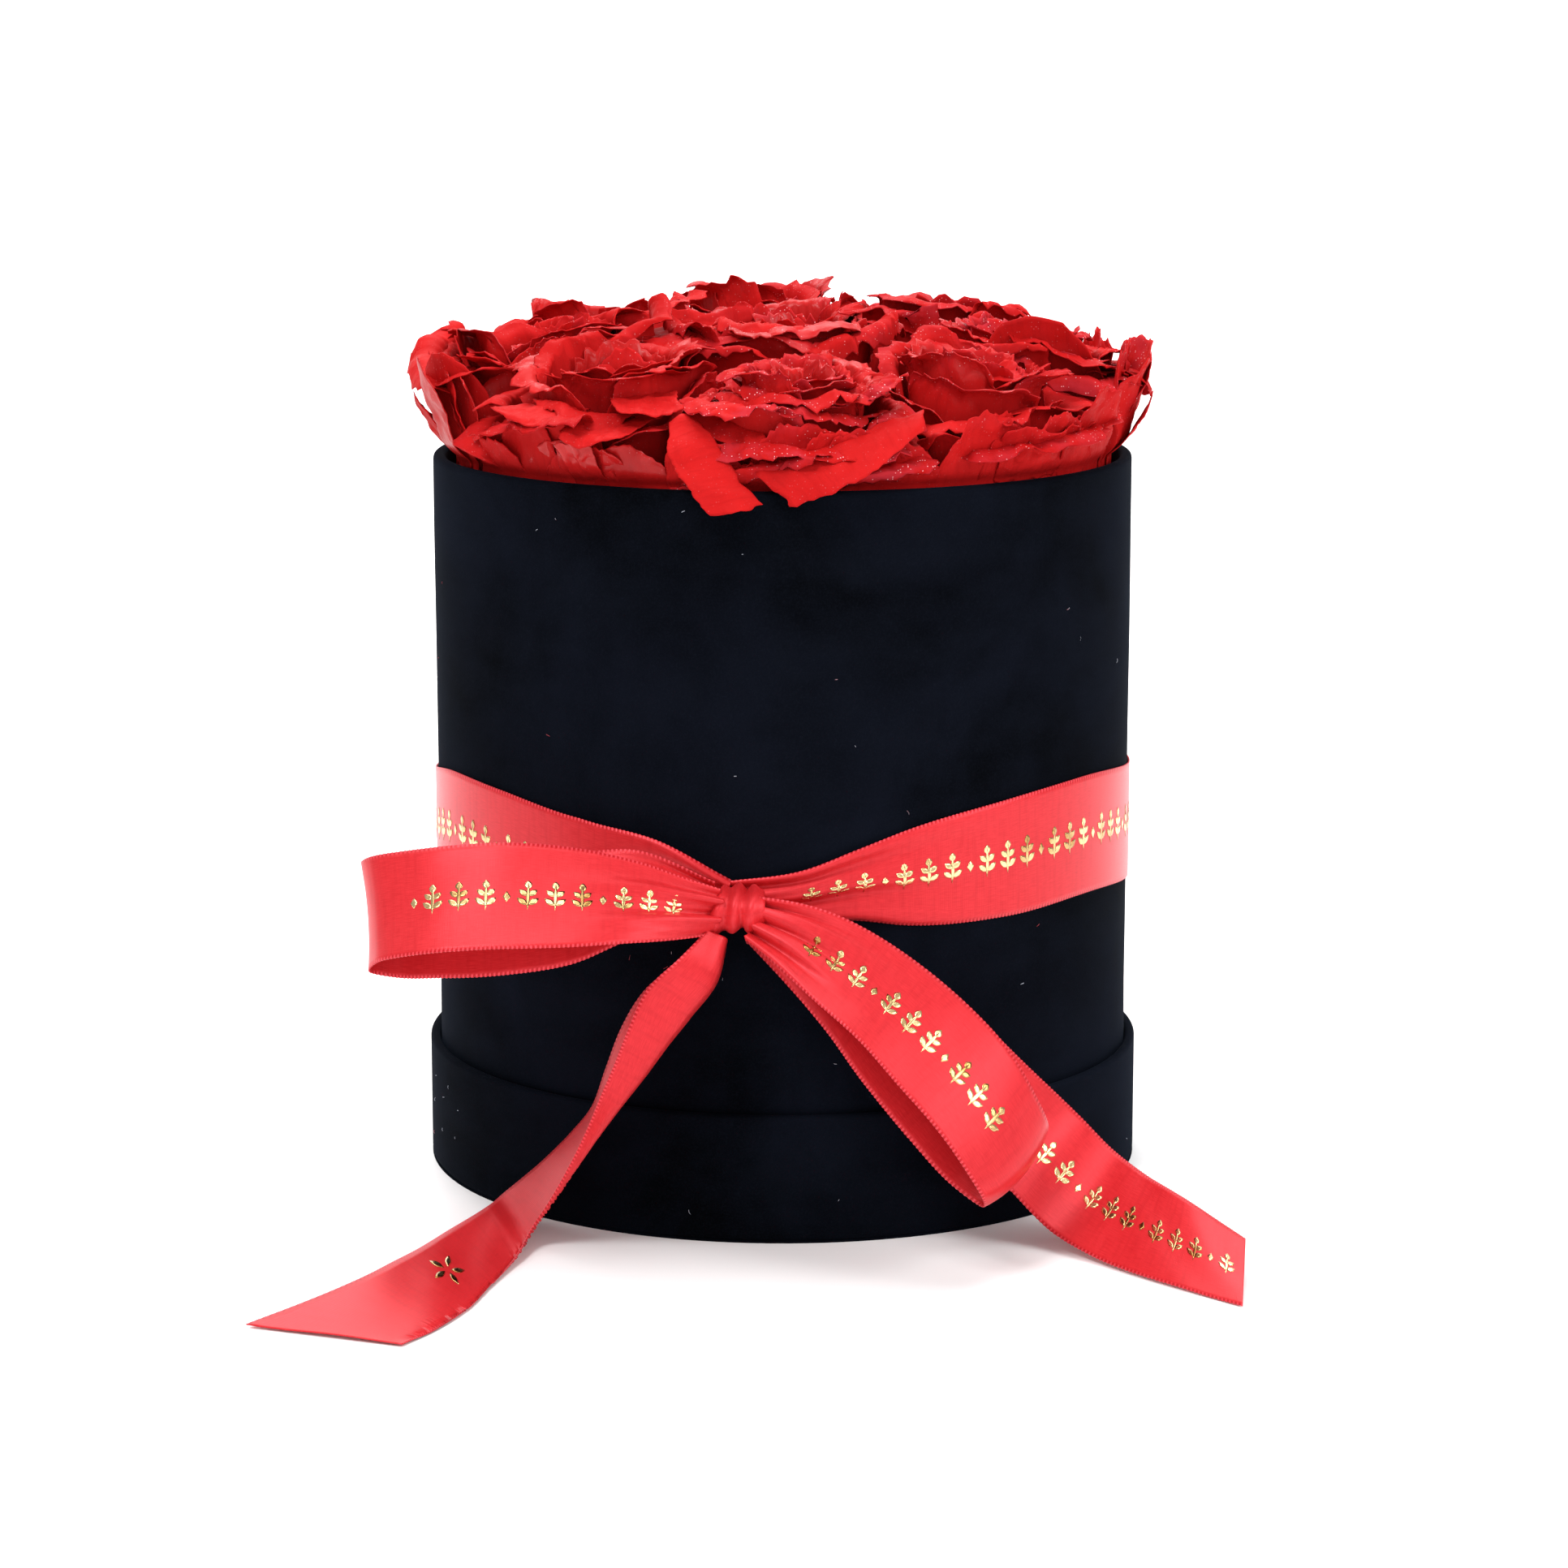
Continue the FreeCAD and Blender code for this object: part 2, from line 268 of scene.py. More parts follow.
def velvet_material():
    """Short black pile with a blue cast, brushed in patches."""
    m = Material("velvet_black")
    patches = m.noise(19, 4, 0.6, distortion=0.4)
    brushed = m.noise(1, 3, 0.5, m.place((30, 30, 80)))
    fibre = m.noise(2600, 2, 0.7)
    base = m.ramp(patches, [(0.36, (0.0008, 0.0010, 0.0016)), (0.68, (0.0040, 0.0052, 0.0095))])
    tone = m.mix(m.grey(brushed, 0.0, 0.5, 0.4, 0.75), base, (0.0045, 0.0060, 0.0105, 1))
    m.set(Base_Color=m.mix(m.grey(fibre, 0.0, 0.3, 0.45, 0.8), tone, (0.0075, 0.0095, 0.015, 1)))
    m.set(Roughness=m.grey(patches, 0.78, 0.95, 0.3, 0.7))
    m.set(Sheen_Weight=0.02, Sheen_Roughness=0.4, Sheen_Tint=(0.35, 0.5, 0.8, 1), Specular_IOR_Level=0.01)
    m.set(Normal=m.bump(patches, 0.25, 0.25, m.bump(fibre, 0.05, 0.5)))
    return m.material


def lint_material():
    m = Material("lint_fibre")
    m.set(Base_Color=m.ramp(m.noise(90, 0), [(0.42, (0.30, 0.03, 0.04)), (0.5, (0.42, 0.45, 0.52))]))
    m.set(Roughness=0.9)
    return m.material


def board_material():
    """Grey board: pressed fibres and a faint layering along the edge."""
    m = Material("greyboard")
    fibres = m.noise(420, 5, 0.7)
    layers = m.noise(1, 2, 0.5, m.place((6, 6, 900)))
    base = m.ramp(fibres, [(0.3, (0.30, 0.27, 0.23)), (0.7, (0.48, 0.44, 0.38))])
    m.set(Base_Color=m.mix(m.grey(layers, 0.0, 0.4, 0.35, 0.7), base, (0.24, 0.21, 0.18, 1)))
    m.set(Roughness=0.92, Normal=m.bump(fibres, 0.12, 0.6))
    return m.material


def paper_material():
    """Black lining paper with a light tooth."""
    m = Material("lining_paper")
    tooth = m.noise(900, 4, 0.65)
    m.set(Base_Color=m.ramp(tooth, [(0.3, (0.016, 0.016, 0.019)), (0.7, (0.034, 0.034, 0.038))]))
    m.set(Roughness=m.grey(tooth, 0.7, 0.9), Normal=m.bump(tooth, 0.04, 0.5))
    return m.material


def foam_material():
    """Wet green floral foam: fine open cells and darker soaked patches."""
    m = Material("foam")
    cells = m.node("TexVoronoi", {"Vector": m.place(), "Scale": 1500.0}).outputs["Distance"]
    soaked = m.noise(40, 4)
    base = m.ramp(soaked, [(0.35, (0.012, 0.055, 0.026)), (0.7, (0.028, 0.11, 0.05))])
    m.set(Base_Color=m.mix(m.grey(cells, 0.0, 0.5), base, (0.045, 0.15, 0.07, 1)))
    m.set(Roughness=0.85, Normal=m.bump(cells, 0.3, 0.8))
    return m.material


def film_material():
    """Clear wrapping film with fine creases."""
    m = Material("film")
    crease = m.noise(120, 5, 0.7, distortion=1.2)
    m.set(Base_Color=(0.93, 0.95, 0.96, 1), Transmission_Weight=1.0, IOR=1.12)
    m.set(Roughness=m.grey(crease, 0.04, 0.22), Normal=m.bump(crease, 0.5, 0.6))
    return m.material


def satin_material():
    """Red single-faced satin: fine cross ribs, long floats and a stitched selvedge, with a painted
    highlight on its raised stitches and painted shade between them.
    """
    m = Material("ribbon_satin")
    uv = m.strip()
    split = m.node("SeparateXYZ", {"Vector": uv})
    across, along = split.outputs[0], split.outputs[1]
    ribs = m.math("SINE", m.math("MULTIPLY", along, 2 * math.pi / 0.32))
    floats = m.noise(1, 3, 0.6, m.stretched(uv, (5.0, 0.35, 1)))
    slub = m.noise(1, 2, 0.5, m.stretched(uv, (0.12, 0.9, 1)))
    tone = m.ramp(floats, [(0.25, (0.56, 0.014, 0.018)), (0.75, (0.70, 0.029, 0.036))])
    tone = m.mix(m.grey(slub, 0.0, 0.35, 0.45, 0.75), tone, (0.47, 0.010, 0.013, 1))
    edge = m.math("ABSOLUTE", across)
    hem = m.grey(edge, 0.0, 0.8, 11.75, 12.1)
    stitches = m.math("SINE", m.math("MULTIPLY", along, 2 * math.pi / 0.9))
    # Painted highlight and shade: the raised stitch loops of the selvedge are painted lighter and the dips
    # between them darker.
    stitch_highlight = m.grey(stitches, 0.0, 1.0, -0.2, 0.5)
    stitch_highlight_and_shade = m.mix(stitch_highlight, (0.50, 0.008, 0.012, 1), (0.85, 0.07, 0.09, 1))
    m.set(Base_Color=m.mix(hem, tone, stitch_highlight_and_shade))
    m.set(Roughness=m.grey(floats, 0.30, 0.42))
    m.set(Tangent=m.node("Tangent", direction_type="UV_MAP", uv_map="strip").outputs[0])
    m.set(Metallic=0.15, Anisotropic=0.6, Specular_IOR_Level=0.45, Specular_Tint=(1.0, 0.50, 0.58, 1))
    m.set(Normal=m.bump(floats, 0.05, 0.35, m.bump(ribs, 0.012, 0.35)))
    return m.material


def foil_material():
    """Hot-stamped gold foil whose colour runs in patches from dark to bright gold, its roughness varied as
    if slightly worn.
    """
    m = Material("gold_foil")
    worn = m.noise(420, 4, 0.7)
    patches = m.noise(90, 2, 0.5)
    m.set(Base_Color=m.ramp(patches, [(0.35, (0.42, 0.23, 0.07)), (0.55, (0.95, 0.72, 0.36))]))
    m.set(Metallic=1.0, Roughness=m.grey(worn, 0.12, 0.38), Normal=m.bump(worn, 0.03, 0.5))
    return m.material


def petal_material():
    """Velvety red petal with veins, painted shade in its hollows, glossy patches and glittering frost."""
    m = Material("petal")
    dark, body, light = (0.21, 0.0032, 0.0036), (0.41, 0.0070, 0.0074), (0.53, 0.012, 0.012)
    cloudy = m.noise(70, 4, 0.55)
    depth = m.attribute("depth")
    frost = m.attribute("frost")
    tone = m.attribute("tone")
    gloss = m.attribute("gloss")
    shade = m.math("ADD", cloudy, m.math("MULTIPLY", tone, 0.22))
    base = m.ramp(shade, [(0.25, body), (0.75, light)])
    # Painted shade: the depth attribute darkens the petal where shade falls down in the rose's hollows.
    base = m.mix(m.grey(depth, 0.0, 0.4), base, (*dark, 1))
    uv = m.strip()
    veins = m.noise(1, 3, 0.6, m.stretched(uv, (0.9, 0.11, 1)))
    base = m.mix(m.grey(veins, 0.0, 0.3, 0.5, 0.8), base, (*dark, 1))
    patchy = m.noise(160, 4, 0.65)
    cover = m.math("MULTIPLY", frost, m.grey(patchy, 0.0, 1.0, 0.42, 0.62))
    base = m.mix(m.math("MULTIPLY", cover, 0.55), base, (0.46, 0.040, 0.062, 1))
    cells = m.node("TexVoronoi", {"Vector": m.place(), "Scale": 2000.0})
    spot = m.grey(cells.outputs["Distance"], 1.0, 0.0, 0.20, 0.30)
    pick = m.node("SeparateColor", {"Color": cells.outputs["Color"]}).outputs[0]
    chosen = m.grey(pick, 0.0, 1.0, 0.80, 0.84)
    grains = m.math("MULTIPLY", m.math("MULTIPLY", spot, chosen), m.grey(frost, 0.03, 1.0))
    m.set(Base_Color=m.mix(grains, base, (0.95, 0.55, 0.58, 1)))
    m.set(Roughness=m.grey(veins, 0.42, 0.60, 0.3, 0.75), Coat_Weight=m.grey(gloss, 0.0, 0.55))
    m.set(Specular_IOR_Level=0.02, Coat_Roughness=0.25, Coat_IOR=1.45)
    crumpled = m.bump(m.noise(330, 5, 0.65), 0.16, 0.6)
    m.set(Normal=m.bump(veins, 0.12, 0.5, crumpled))
    return m.material


def green_material(name, low, high):
    """Plant skin for stems and sepals, with length-wise fibres and small pale dots."""
    m = Material(name)
    fibre = m.noise(1, 4, 0.6, m.place((700, 700, 60)))
    dots = m.noise(500, 1)
    base = m.ramp(fibre, [(0.3, low), (0.7, high)])
    m.set(Base_Color=m.mix(m.grey(dots, 0.0, 0.5, 0.66, 0.72), base, (0.30, 0.36, 0.16, 1)))
    m.set(Roughness=0.55, Normal=m.bump(fibre, 0.15, 0.5))
    return m.material


def floor_material():
    m = Material("pale_floor")
    m.set(Base_Color=m.ramp(m.noise(6, 3), [(0.3, (0.94, 0.94, 0.94)), (0.7, (0.96, 0.96, 0.96))]))
    m.set(Roughness=0.6)
    return m.material


VELVET = velvet_material()
LINT = lint_material()
BOARD = board_material()
PAPER = paper_material()
FOAM = foam_material()
FILM = film_material()
SATIN = satin_material()
FOIL = foil_material()
PETAL = petal_material()
CALYX = green_material("calyx", (0.030, 0.085, 0.018), (0.075, 0.17, 0.035))
STEM = green_material("stem", (0.035, 0.10, 0.020), (0.09, 0.19, 0.04))
SLOT_MATERIALS = {
    "velvet_black": VELVET,
    "greyboard": BOARD,
    "lining_paper": PAPER,
    "ribbon_satin": SATIN,
    "foam": FOAM,
    "film": FILM,
    "petal": PETAL,
    "calyx": CALYX,
    "stem": STEM,
}


def dress_cad_nodes():
    """Every CAD node that stays gets its slot's material."""
    for part in frame["record"]["subparts"]:
        obj = frame["nodes"][part["node"]]
        obj.data.materials.clear()
        obj.data.materials.append(SLOT_MATERIALS[part["material_slot"]])


# ---------------------------------------------------------------- velvet skins

def lathe(profile, turns=288):
    """Points and faces of a closed profile of (radius, height) spun about the box's axis."""
    angles = np.arange(turns) * 2 * math.pi / turns
    c, s = np.cos(angles), np.sin(angles)
    points = np.concatenate([np.stack([r * c, r * s, np.full(turns, float(z))], -1) for r, z in profile])
    faces = grid_faces(len(profile), turns, wrap=True)
    last = (len(profile) - 1) * turns
    for j in range(turns):
        k = (j + 1) % turns
        faces.append((last + j, last + k, k, j))
    return points, faces


def rounded(outer, inner, top, radius, steps=7):
    """Half-round profile over a rim, from its outside down to its inside."""
    corner = []
    for centre, start in ((outer - radius, 0.0), (inner + radius, 0.5 * math.pi)):
        for k in range(steps + 1):
            angle = start + 0.5 * math.pi * k / steps
            corner.append((centre + radius * math.cos(angle), top - radius + radius * math.sin(angle)))
    return corner


def velvet_wrap():
    """Skin of the tube: up the outside, over the rounded rim and down the turn-in."""
    skin, turn_in, turn_under = 0.5, 14, 60
    board_out, throat = BODY_R - skin, THROAT_R
    profile = [(turn_under, BODY_BOTTOM), (BODY_R - 1.0, BODY_BOTTOM), (BODY_R - 0.25, BODY_BOTTOM + 0.3)]
    profile += [(BODY_R, z) for z in np.linspace(BODY_BOTTOM + 1.2, RIM - 1.6, 40)]
    profile += rounded(BODY_R, throat, RIM, 1.25)
    profile += [(throat, RIM - 6), (throat, RIM - turn_in), (throat + skin, RIM - turn_in)]
    profile += [(throat + skin, RIM - skin), (board_out, RIM - skin)]
    profile += [(board_out, BODY_BOTTOM + skin), (turn_under, BODY_BOTTOM + skin)]
    points, faces = lathe(profile)
    r = np.linalg.norm(points[:, :2], axis=1)
    outside = smoothstep(board_out + 0.2, BODY_R, r)[:, None] * smoothstep(26, 40, points[:, 2])[:, None]
    points = points - unit(points * [1, 1, 0]) * outside * (0.12 + 0.12 * wobble(points, 30, 3))[:, None]
    obj = add_mesh("velvet_wrap", points, faces, VELVET, "box")
    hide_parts("body_velvet_wrap")


def velvet_lid():
    """Skin of the upturned lid: up its side, over the rounded rim and down the turn-in."""
    skin = 0.4
    board_out = LID_R - skin
    fold_in = BODY_R + 0.3
    board_in = fold_in + 0.3
    profile = [(board_out, skin), (LID_R - 0.35, skin), (LID_R - 0.08, skin + 0.35)]
    profile += [(LID_R, z) for z in np.linspace(skin + 1.2, LID_TOP - 1.2, 12)]
    profile += rounded(LID_R, fold_in, LID_TOP, 0.9)
    profile += [(fold_in, LID_TOP - 5), (fold_in, LID_TOP - 10), (board_in, LID_TOP - 10)]
    profile += [(board_in, LID_TOP - skin), (board_out, LID_TOP - skin)]
    points, faces = lathe(profile)
    obj = add_mesh("velvet_lid", points, faces, VELVET, "lid_base")
    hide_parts("lid_velvet_band")


def seam(name, radius, low, high, body, turn):
    """Lapped edge of the velvet: a low ridge up the back."""
    steps, half = 60, 5
    points = []
    for z in np.linspace(low, high, steps):
        for k in range(-half, half + 1):
            angle = turn + k * 0.35 / radius + 0.0012 * math.sin(z * 0.21)
            lift = 0.22 * math.exp(-(k / 2.2) ** 2) - (0.12 if abs(k) == half else 0)
            points.append(((radius + lift) * math.cos(angle), (radius + lift) * math.sin(angle), z))
    obj = add_mesh(name, points, grid_faces(steps, 2 * half + 1), VELVET, body, thickness=0.1)


def lint():
    """A few stray fibres caught in the pile of the tube and the lid."""
    rng = np.random.default_rng(21)
    for name, body, radius, low, high, count in (
        ("lint_box", "box", BODY_R, LID_TOP + 3, RIM - 4, 70),
        ("lint_lid", "lid_base", LID_R, 3, LID_TOP - 3, 26),
    ):
        points, faces = [], []
        for _ in range(count):
            turn, z = rng.uniform(0, 2 * math.pi), rng.uniform(low, high)
            lean, length = rng.uniform(0, math.pi), rng.uniform(0.25, 1.1)
            bend = rng.uniform(-0.5, 0.5)
            start = len(points)
            for k in range(5):
                t = k / 4 - 0.5
                side = (t * length * math.cos(lean) + bend * length * t * t) / radius
                rise = t * length * math.sin(lean)
                for wide in (-0.045, 0.045):
                    r = radius + 0.10 + 0.12 * (1 - 4 * t * t)
                    points.append((r * math.cos(turn + side), r * math.sin(turn + side), z + rise + wide))
            faces += grid_faces(5, 2, start)
        obj = add_mesh(name, points, faces, LINT, body, thickness=0.07)


# ---------------------------------------------------------------- ribbon

class Ribbon:
    """A shaped ribbon. Places on it are millimetres along and a share from -1 to 1 across."""

    def read(self, rows, along):
        return through(rows, self.marks, along)

    def grid(self, along, columns):
        """Places across the ribbon for each row of its mesh."""
        return np.linspace(-1, 1, columns) * np.ones((len(along), 1))


class Strip(Ribbon):
    """A ribbon through stations of centre, width direction and share of the full width.

    arch moves the ribbon's middle at chosen stations, so that its edges stand away."""

    def __init__(self, stations, pleats=3.0, depth=2.6, cup=0.0, seed=1, arch=None):
        self.centre = np.array([s[0] for s in stations], float)
        self.across = unit(np.array([s[1] for s in stations], float))
        self.share = np.array([s[2] for s in stations], float)
        self.arch = np.zeros((len(stations), 3))
        for station, shift in (arch or {}).items():
            self.arch[station] = shift
        self.marks = distances(self.centre)
        self.length = self.marks[-1]
        self.pleats, self.depth, self.cup, self.seed = pleats, depth, cup, seed

    def at(self, along, across, lift=0.0):
        along, across = np.broadcast_arrays(along * 1.0, across * 1.0)
        centre = self.read(self.centre, along)
        ahead = self.read(self.centre, np.minimum(along + 0.5, self.length))
        behind = self.read(self.centre, np.maximum(along - 0.5, 0))
        side = unit(self.read(self.across, along))
        share = self.read(self.share[:, None], along)[..., 0]
        normal = unit(np.cross(ahead - behind, side))
        gather = self.depth * np.clip(1 - share, 0, 1) ** 1.2
        phase = self.seed * 1.7 + along * 0.02
        fold = np.sin(math.pi * self.pleats * across + phase)
        fold = fold + 0.45 * np.sin(math.pi * self.pleats * 2.1 * across + 2.3 * phase)
        height = gather * fold + self.cup * (1 - across**2) + lift
        height = height + 0.35 * ripple(along * 0.06 + across * 0.8, self.seed)
        reach = across * share * RIBBON_WIDTH / 2
        bowed = self.read(self.arch, along) * (1 - across**2)[..., None]
        return centre + side * reach[..., None] + normal * height[..., None] + bowed


def picot(along):
    """Small loops of thread that scallop a ribbon's edge."""
    return 0.09 * np.sin(along * 2 * math.pi / 0.9)


def ribbon_piece(name, strip, node):
    columns = 21
    rows = int(strip.length / 0.3)
    along = np.linspace(0, strip.length, rows)
    across = strip.grid(along, columns)
    along = along[:, None] * np.ones(columns)
    edge = (np.abs(across) > 0.99) * picot(along) / (RIBBON_WIDTH / 2)
    points = strip.at(along, across + np.sign(across) * edge)
    uv = np.stack([across * RIBBON_WIDTH / 2, along], -1).reshape(-1, 2)
    faces = grid_faces(rows, columns)
    obj = add_mesh(name, points.reshape(-1, 3), faces, SATIN, "box", uv, thickness=RIBBON_THICKNESS)
    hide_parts(node)
    return obj


LEFT_LOOP = [
    ((-12.5, -84, 71), (0.1, 0.3, 0.95), 0.36),
    ((-19, -87.5, 72.6), (0, 0.5, 0.85), 0.5),
    ((-28, -91, 74.6), (0, 0.66, 0.75), 0.72),
    ((-42, -94.5, 76.3), (0, 0.74, 0.67), 0.96),
    ((-58, -95.5, 76.8), (0, 0.72, 0.69), 1),
    ((-73, -92.5, 74.8), (-0.05, 0.72, 0.69), 1),
    ((-81.5, -87, 72), (-0.1, 0.7, 0.7), 1),
    ((-83.3, -81, 69), (-0.1, 0.66, 0.74), 1),
    ((-79, -77.5, 67.5), (-0.1, 0.62, 0.78), 1),
    ((-68, -80.5, 68.3), (0, 0.6, 0.8), 1),
    ((-55, -83, 69.6), (0, 0.6, 0.8), 1),
    ((-42, -83, 71.3), (0, 0.58, 0.81), 0.96),
    ((-29, -81.5, 74), (0, 0.45, 0.89), 0.72),
    ((-13.5, -80.5, 71.5), (0, 0.3, 0.95), 0.36),
]
RIGHT_LOOP = [
    ((-6, -84.5, 69.5), (0.3, 0.4, 0.86), 0.36),
    ((1.5, -88, 67), (0.4, 0.5, 0.76), 0.56),
    ((10.5, -91.5, 62.3), (0.45, 0.65, 0.61), 0.8),
    ((20.5, -95, 55.6), (0.5, 0.72, 0.47), 0.96),
    ((29.8, -98, 47.2), (0.6, 0.66, 0.45), 1),
    ((37.5, -100, 38.8), (0.62, 0.65, 0.44), 1),
    ((43.2, -100, 30), (0.58, 0.69, 0.43), 1),
    ((46.4, -97.5, 23.2), (0.55, 0.72, 0.43), 1),
    ((46.3, -92.5, 20.4), (0.55, 0.72, 0.43), 1),
    ((41.5, -89, 23.5), (0.6, 0.66, 0.45), 1),
    ((33.2, -87, 33), (0.66, 0.58, 0.47), 1),
    ((24.4, -86, 43.7), (0.62, 0.6, 0.5), 1),
    ((14.5, -84.5, 54.5), (0.5, 0.6, 0.62), 0.88),
    ((4, -82.5, 63), (0.4, 0.5, 0.76), 0.64),
    ((-6, -81.5, 69), (0.3, 0.4, 0.86), 0.36),
]
RIGHT_TAIL = [
    ((-6, -79.3, 67.5), (0.3, 0.3, 0.9), 0.32),
    ((4, -79.8, 64), (0.35, 0.3, 0.88), 0.44),
    ((15, -80, 57.5), (0.5, 0.42, 0.75), 0.64),
    ((24.5, -79, 49), (0.6, 0.55, 0.58), 0.8),
    ((33.6, -76, 39), (0.62, 0.66, 0.42), 0.96),
    ((45, -71.2, 26.4), (0.62, 0.67, 0.4), 1),
    ((54.5, -68.5, 16.2), (0.6, 0.66, 0.45), 1),
    ((61.2, -73, 10.2), (0.55, 0.68, 0.48), 1),
    ((67.8, -81, 7.6), (0.45, 0.75, 0.48), 1),
    ((74.8, -90, 6.4), (0.32, 0.83, 0.45), 1),
    ((82.2, -98.5, 5.3), (0.2, 0.9, 0.38), 1),
    ((91, -107.5, 3.5), (0.12, 0.96, 0.24), 1),
]
# The left tail leaves the knot folded in half along its length and opens out on the table:
# near edge, fold line, far edge.
LEFT_TAIL = [
    ((-15, -85.5, 67.5), (-11, -83.5, 65), (-15, -79.5, 66.5)),
    ((-20.3, -90.5, 63.1), (-12.8, -87.5, 57.9), (-20, -79, 60.5)),
    ((-27.2, -92.5, 56.6), (-18.3, -90, 50.7), (-28, -81, 53.7)),
    ((-30.5, -93.4, 49.6), (-22.7, -91, 45.3), (-32.2, -79, 46.4)),
    ((-33.4, -92.4, 42), (-27.4, -91, 38.8), (-35.8, -76, 36.6)),
    ((-36.3, -90.9, 34.9), (-32.1, -90, 32.5), (-38.7, -72.5, 28)),
    ((-39.4, -87.7, 26.8), (-37, -87.5, 25.3), (-43.3, -68, 21.1)),
    ((-42.5, -85.5, 19.9), (-41.1, -85, 18.8), (-47.7, -64.5, 15.6)),
    ((-46.6, -82.3, 11.6), (-46.1, -82, 10.9), (-52.7, -60.5, 9.9)),
    ((-50.2, -81.3, 5.4), (-50.0, -81, 5), (-57.9, -59, 5.2)),
    ((-53, -90.7, 2.2), (-52.9, -90.4, 2), (-61, -67.2, 4.8)),
    ((-57, -104.6, 0.7), (-56.9, -104.2, 0.7), (-68.2, -82.3, 3.9)),
    ((-61.3, -122.3, 0.6), (-61.2, -122, 0.6), (-76.2, -102.9, 4.5)),
    ((-66, -133.6, 0.6), (-65.9, -133.3, 0.6), (-83, -115.7, 4.3)),
    ((-71.9, -143.6, 0.6), (-72.2, -143.4, 0.6), (-102.8, -132, 0.7)),
]


class FoldedStrip(Ribbon):
    """A ribbon folded along its length, through near edges, fold points and far edges."""

    def __init__(self, stations, bulge=0.9, seed=4):
        rows = np.array(stations, float)
        self.near, self.fold, self.far = rows[:, 0], rows[:, 1], rows[:, 2]
        self.marks = distances(rows.mean(axis=1))
        self.length = self.marks[-1]
        self.bulge, self.seed = bulge, seed

    def section(self, along):
        """Near edge, fold and far edge, with the width of the flap and of both sides together."""
        near, fold, far = (self.read(line, along) for line in (self.near, self.fold, self.far))
        flap = np.linalg.norm(near - fold, axis=-1)
        return near, fold, far, flap, flap + np.linalg.norm(far - fold, axis=-1)

    def grid(self, along, columns):
        """Places across for each row of its mesh, always with one on the fold."""
        flap, whole = self.section(along)[3:]
        crease = (2 * flap / whole - 1)[:, None]
        inner = columns * 2 // 5
        left = np.linspace(0, 1, inner, endpoint=False)
        right = np.linspace(0, 1, columns - inner)
        return np.hstack([-1 + (crease + 1) * left, crease + (1 - crease) * right])

    def at(self, along, across, lift=0.0):
        along, across = np.broadcast_arrays(along * 1.0, across * 1.0)
        near, fold, far, flap, whole = self.section(along)
        x = (across + 1) / 2 * whole
        on_flap = x < flap
        t_near = np.clip(x / np.maximum(flap, 1e-6), 0, 1)[..., None]
        t_far = np.clip((x - flap) / np.maximum(whole - flap, 1e-6), 0, 1)[..., None]
        point = np.where(on_flap[..., None], near + (fold - near) * t_near, fold + (far - fold) * t_far)
        step = 0.6
        ahead = self.read(self.fold, np.minimum(along + step, self.length))
        behind = self.read(self.fold, np.maximum(along - step, 0))
        run = ahead - behind
        normal = unit(np.cross(run, np.where(on_flap[..., None], near - fold, fold - far)))
        normal = np.where(on_flap[..., None], -normal, normal)
        flap_rounding = np.sin(math.pi * t_near[..., 0] ** 2)
        rounding = np.where(on_flap, flap_rounding, np.sin(math.pi * t_far[..., 0] ** 0.5))
        opened = smoothstep(0.4, 6, flap)
        height = self.bulge * rounding * opened + lift
        height = height + 0.5 * ripple(along * 0.05 + across * 0.9, self.seed) * (1 - opened)
        point = point + normal * height[..., None]
        point[..., 2] = np.maximum(point[..., 2], 0.45)
        return point


def knot():
    """The ribbon wrapped once round the middle of the bow: an open tube with soft creases,
    whose edges roll in where the loops pass through."""
    around, across = 96, 44
    half_width = (knot_high[0] - knot_low[0]) / 2 - 0.4
    radius = (knot_high[2] - knot_low[2]) / 2 - 0.1
    neck = 0.62
    mouth = 0.5 * radius
    row = np.linspace(0, 1, across)[:, None] * np.ones(around)
    lap = np.arange(around) / around * np.ones((across, 1))
    u = 2.3 * (row - 0.5)
    v = 2 * math.pi * lap
    inside = np.maximum(np.abs(u) - 1, 0) / 0.15
    shoulder = (1 - np.minimum(np.abs(u), 1) ** 4) ** 0.5
    crease = 0.30 * np.sin(4.3 * u + 1.6 * np.sin(v)) + 0.5 * np.sin(12.6 * u - 1.3 * np.sin(v + 0.4))
    pinch = 0.7 * np.exp(-((u - 0.42 + 0.1 * np.cos(v)) / 0.08) ** 2)
    pinch += 0.5 * np.exp(-((u + 0.55 - 0.15 * np.sin(v)) / 0.07) ** 2)
    r = radius * (0.86 + 0.14 * np.cos(2 * v + 0.6)) * (neck + (1 - neck) * shoulder)
    r = r + (crease - pinch) * shoulder + (mouth - neck * radius) * np.minimum(inside, 1)
    x = np.clip(u, -1, 1) * half_width * (1 + 0.08 * np.cos(v + 0.4)) * (1 - 0.14 * inside)
    y, z = -r * np.cos(v), r * np.sin(v) + 0.14 * x
    turn = math.atan2(KNOT[0], -KNOT[1])
    c, s = math.cos(turn), math.sin(turn)
    spun = np.stack([x * c - y * s, x * s + y * c, z], -1).reshape(-1, 3)
    uv = np.stack([18 * row - 9, 35 * lap], -1).reshape(-1, 2)
    faces = grid_faces(across, around, wrap=True)
    obj = add_mesh("ribbon_knot_wrap", spun + KNOT, faces, SATIN, "box", uv, thickness=RIBBON_THICKNESS)
    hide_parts("ribbon_knot")


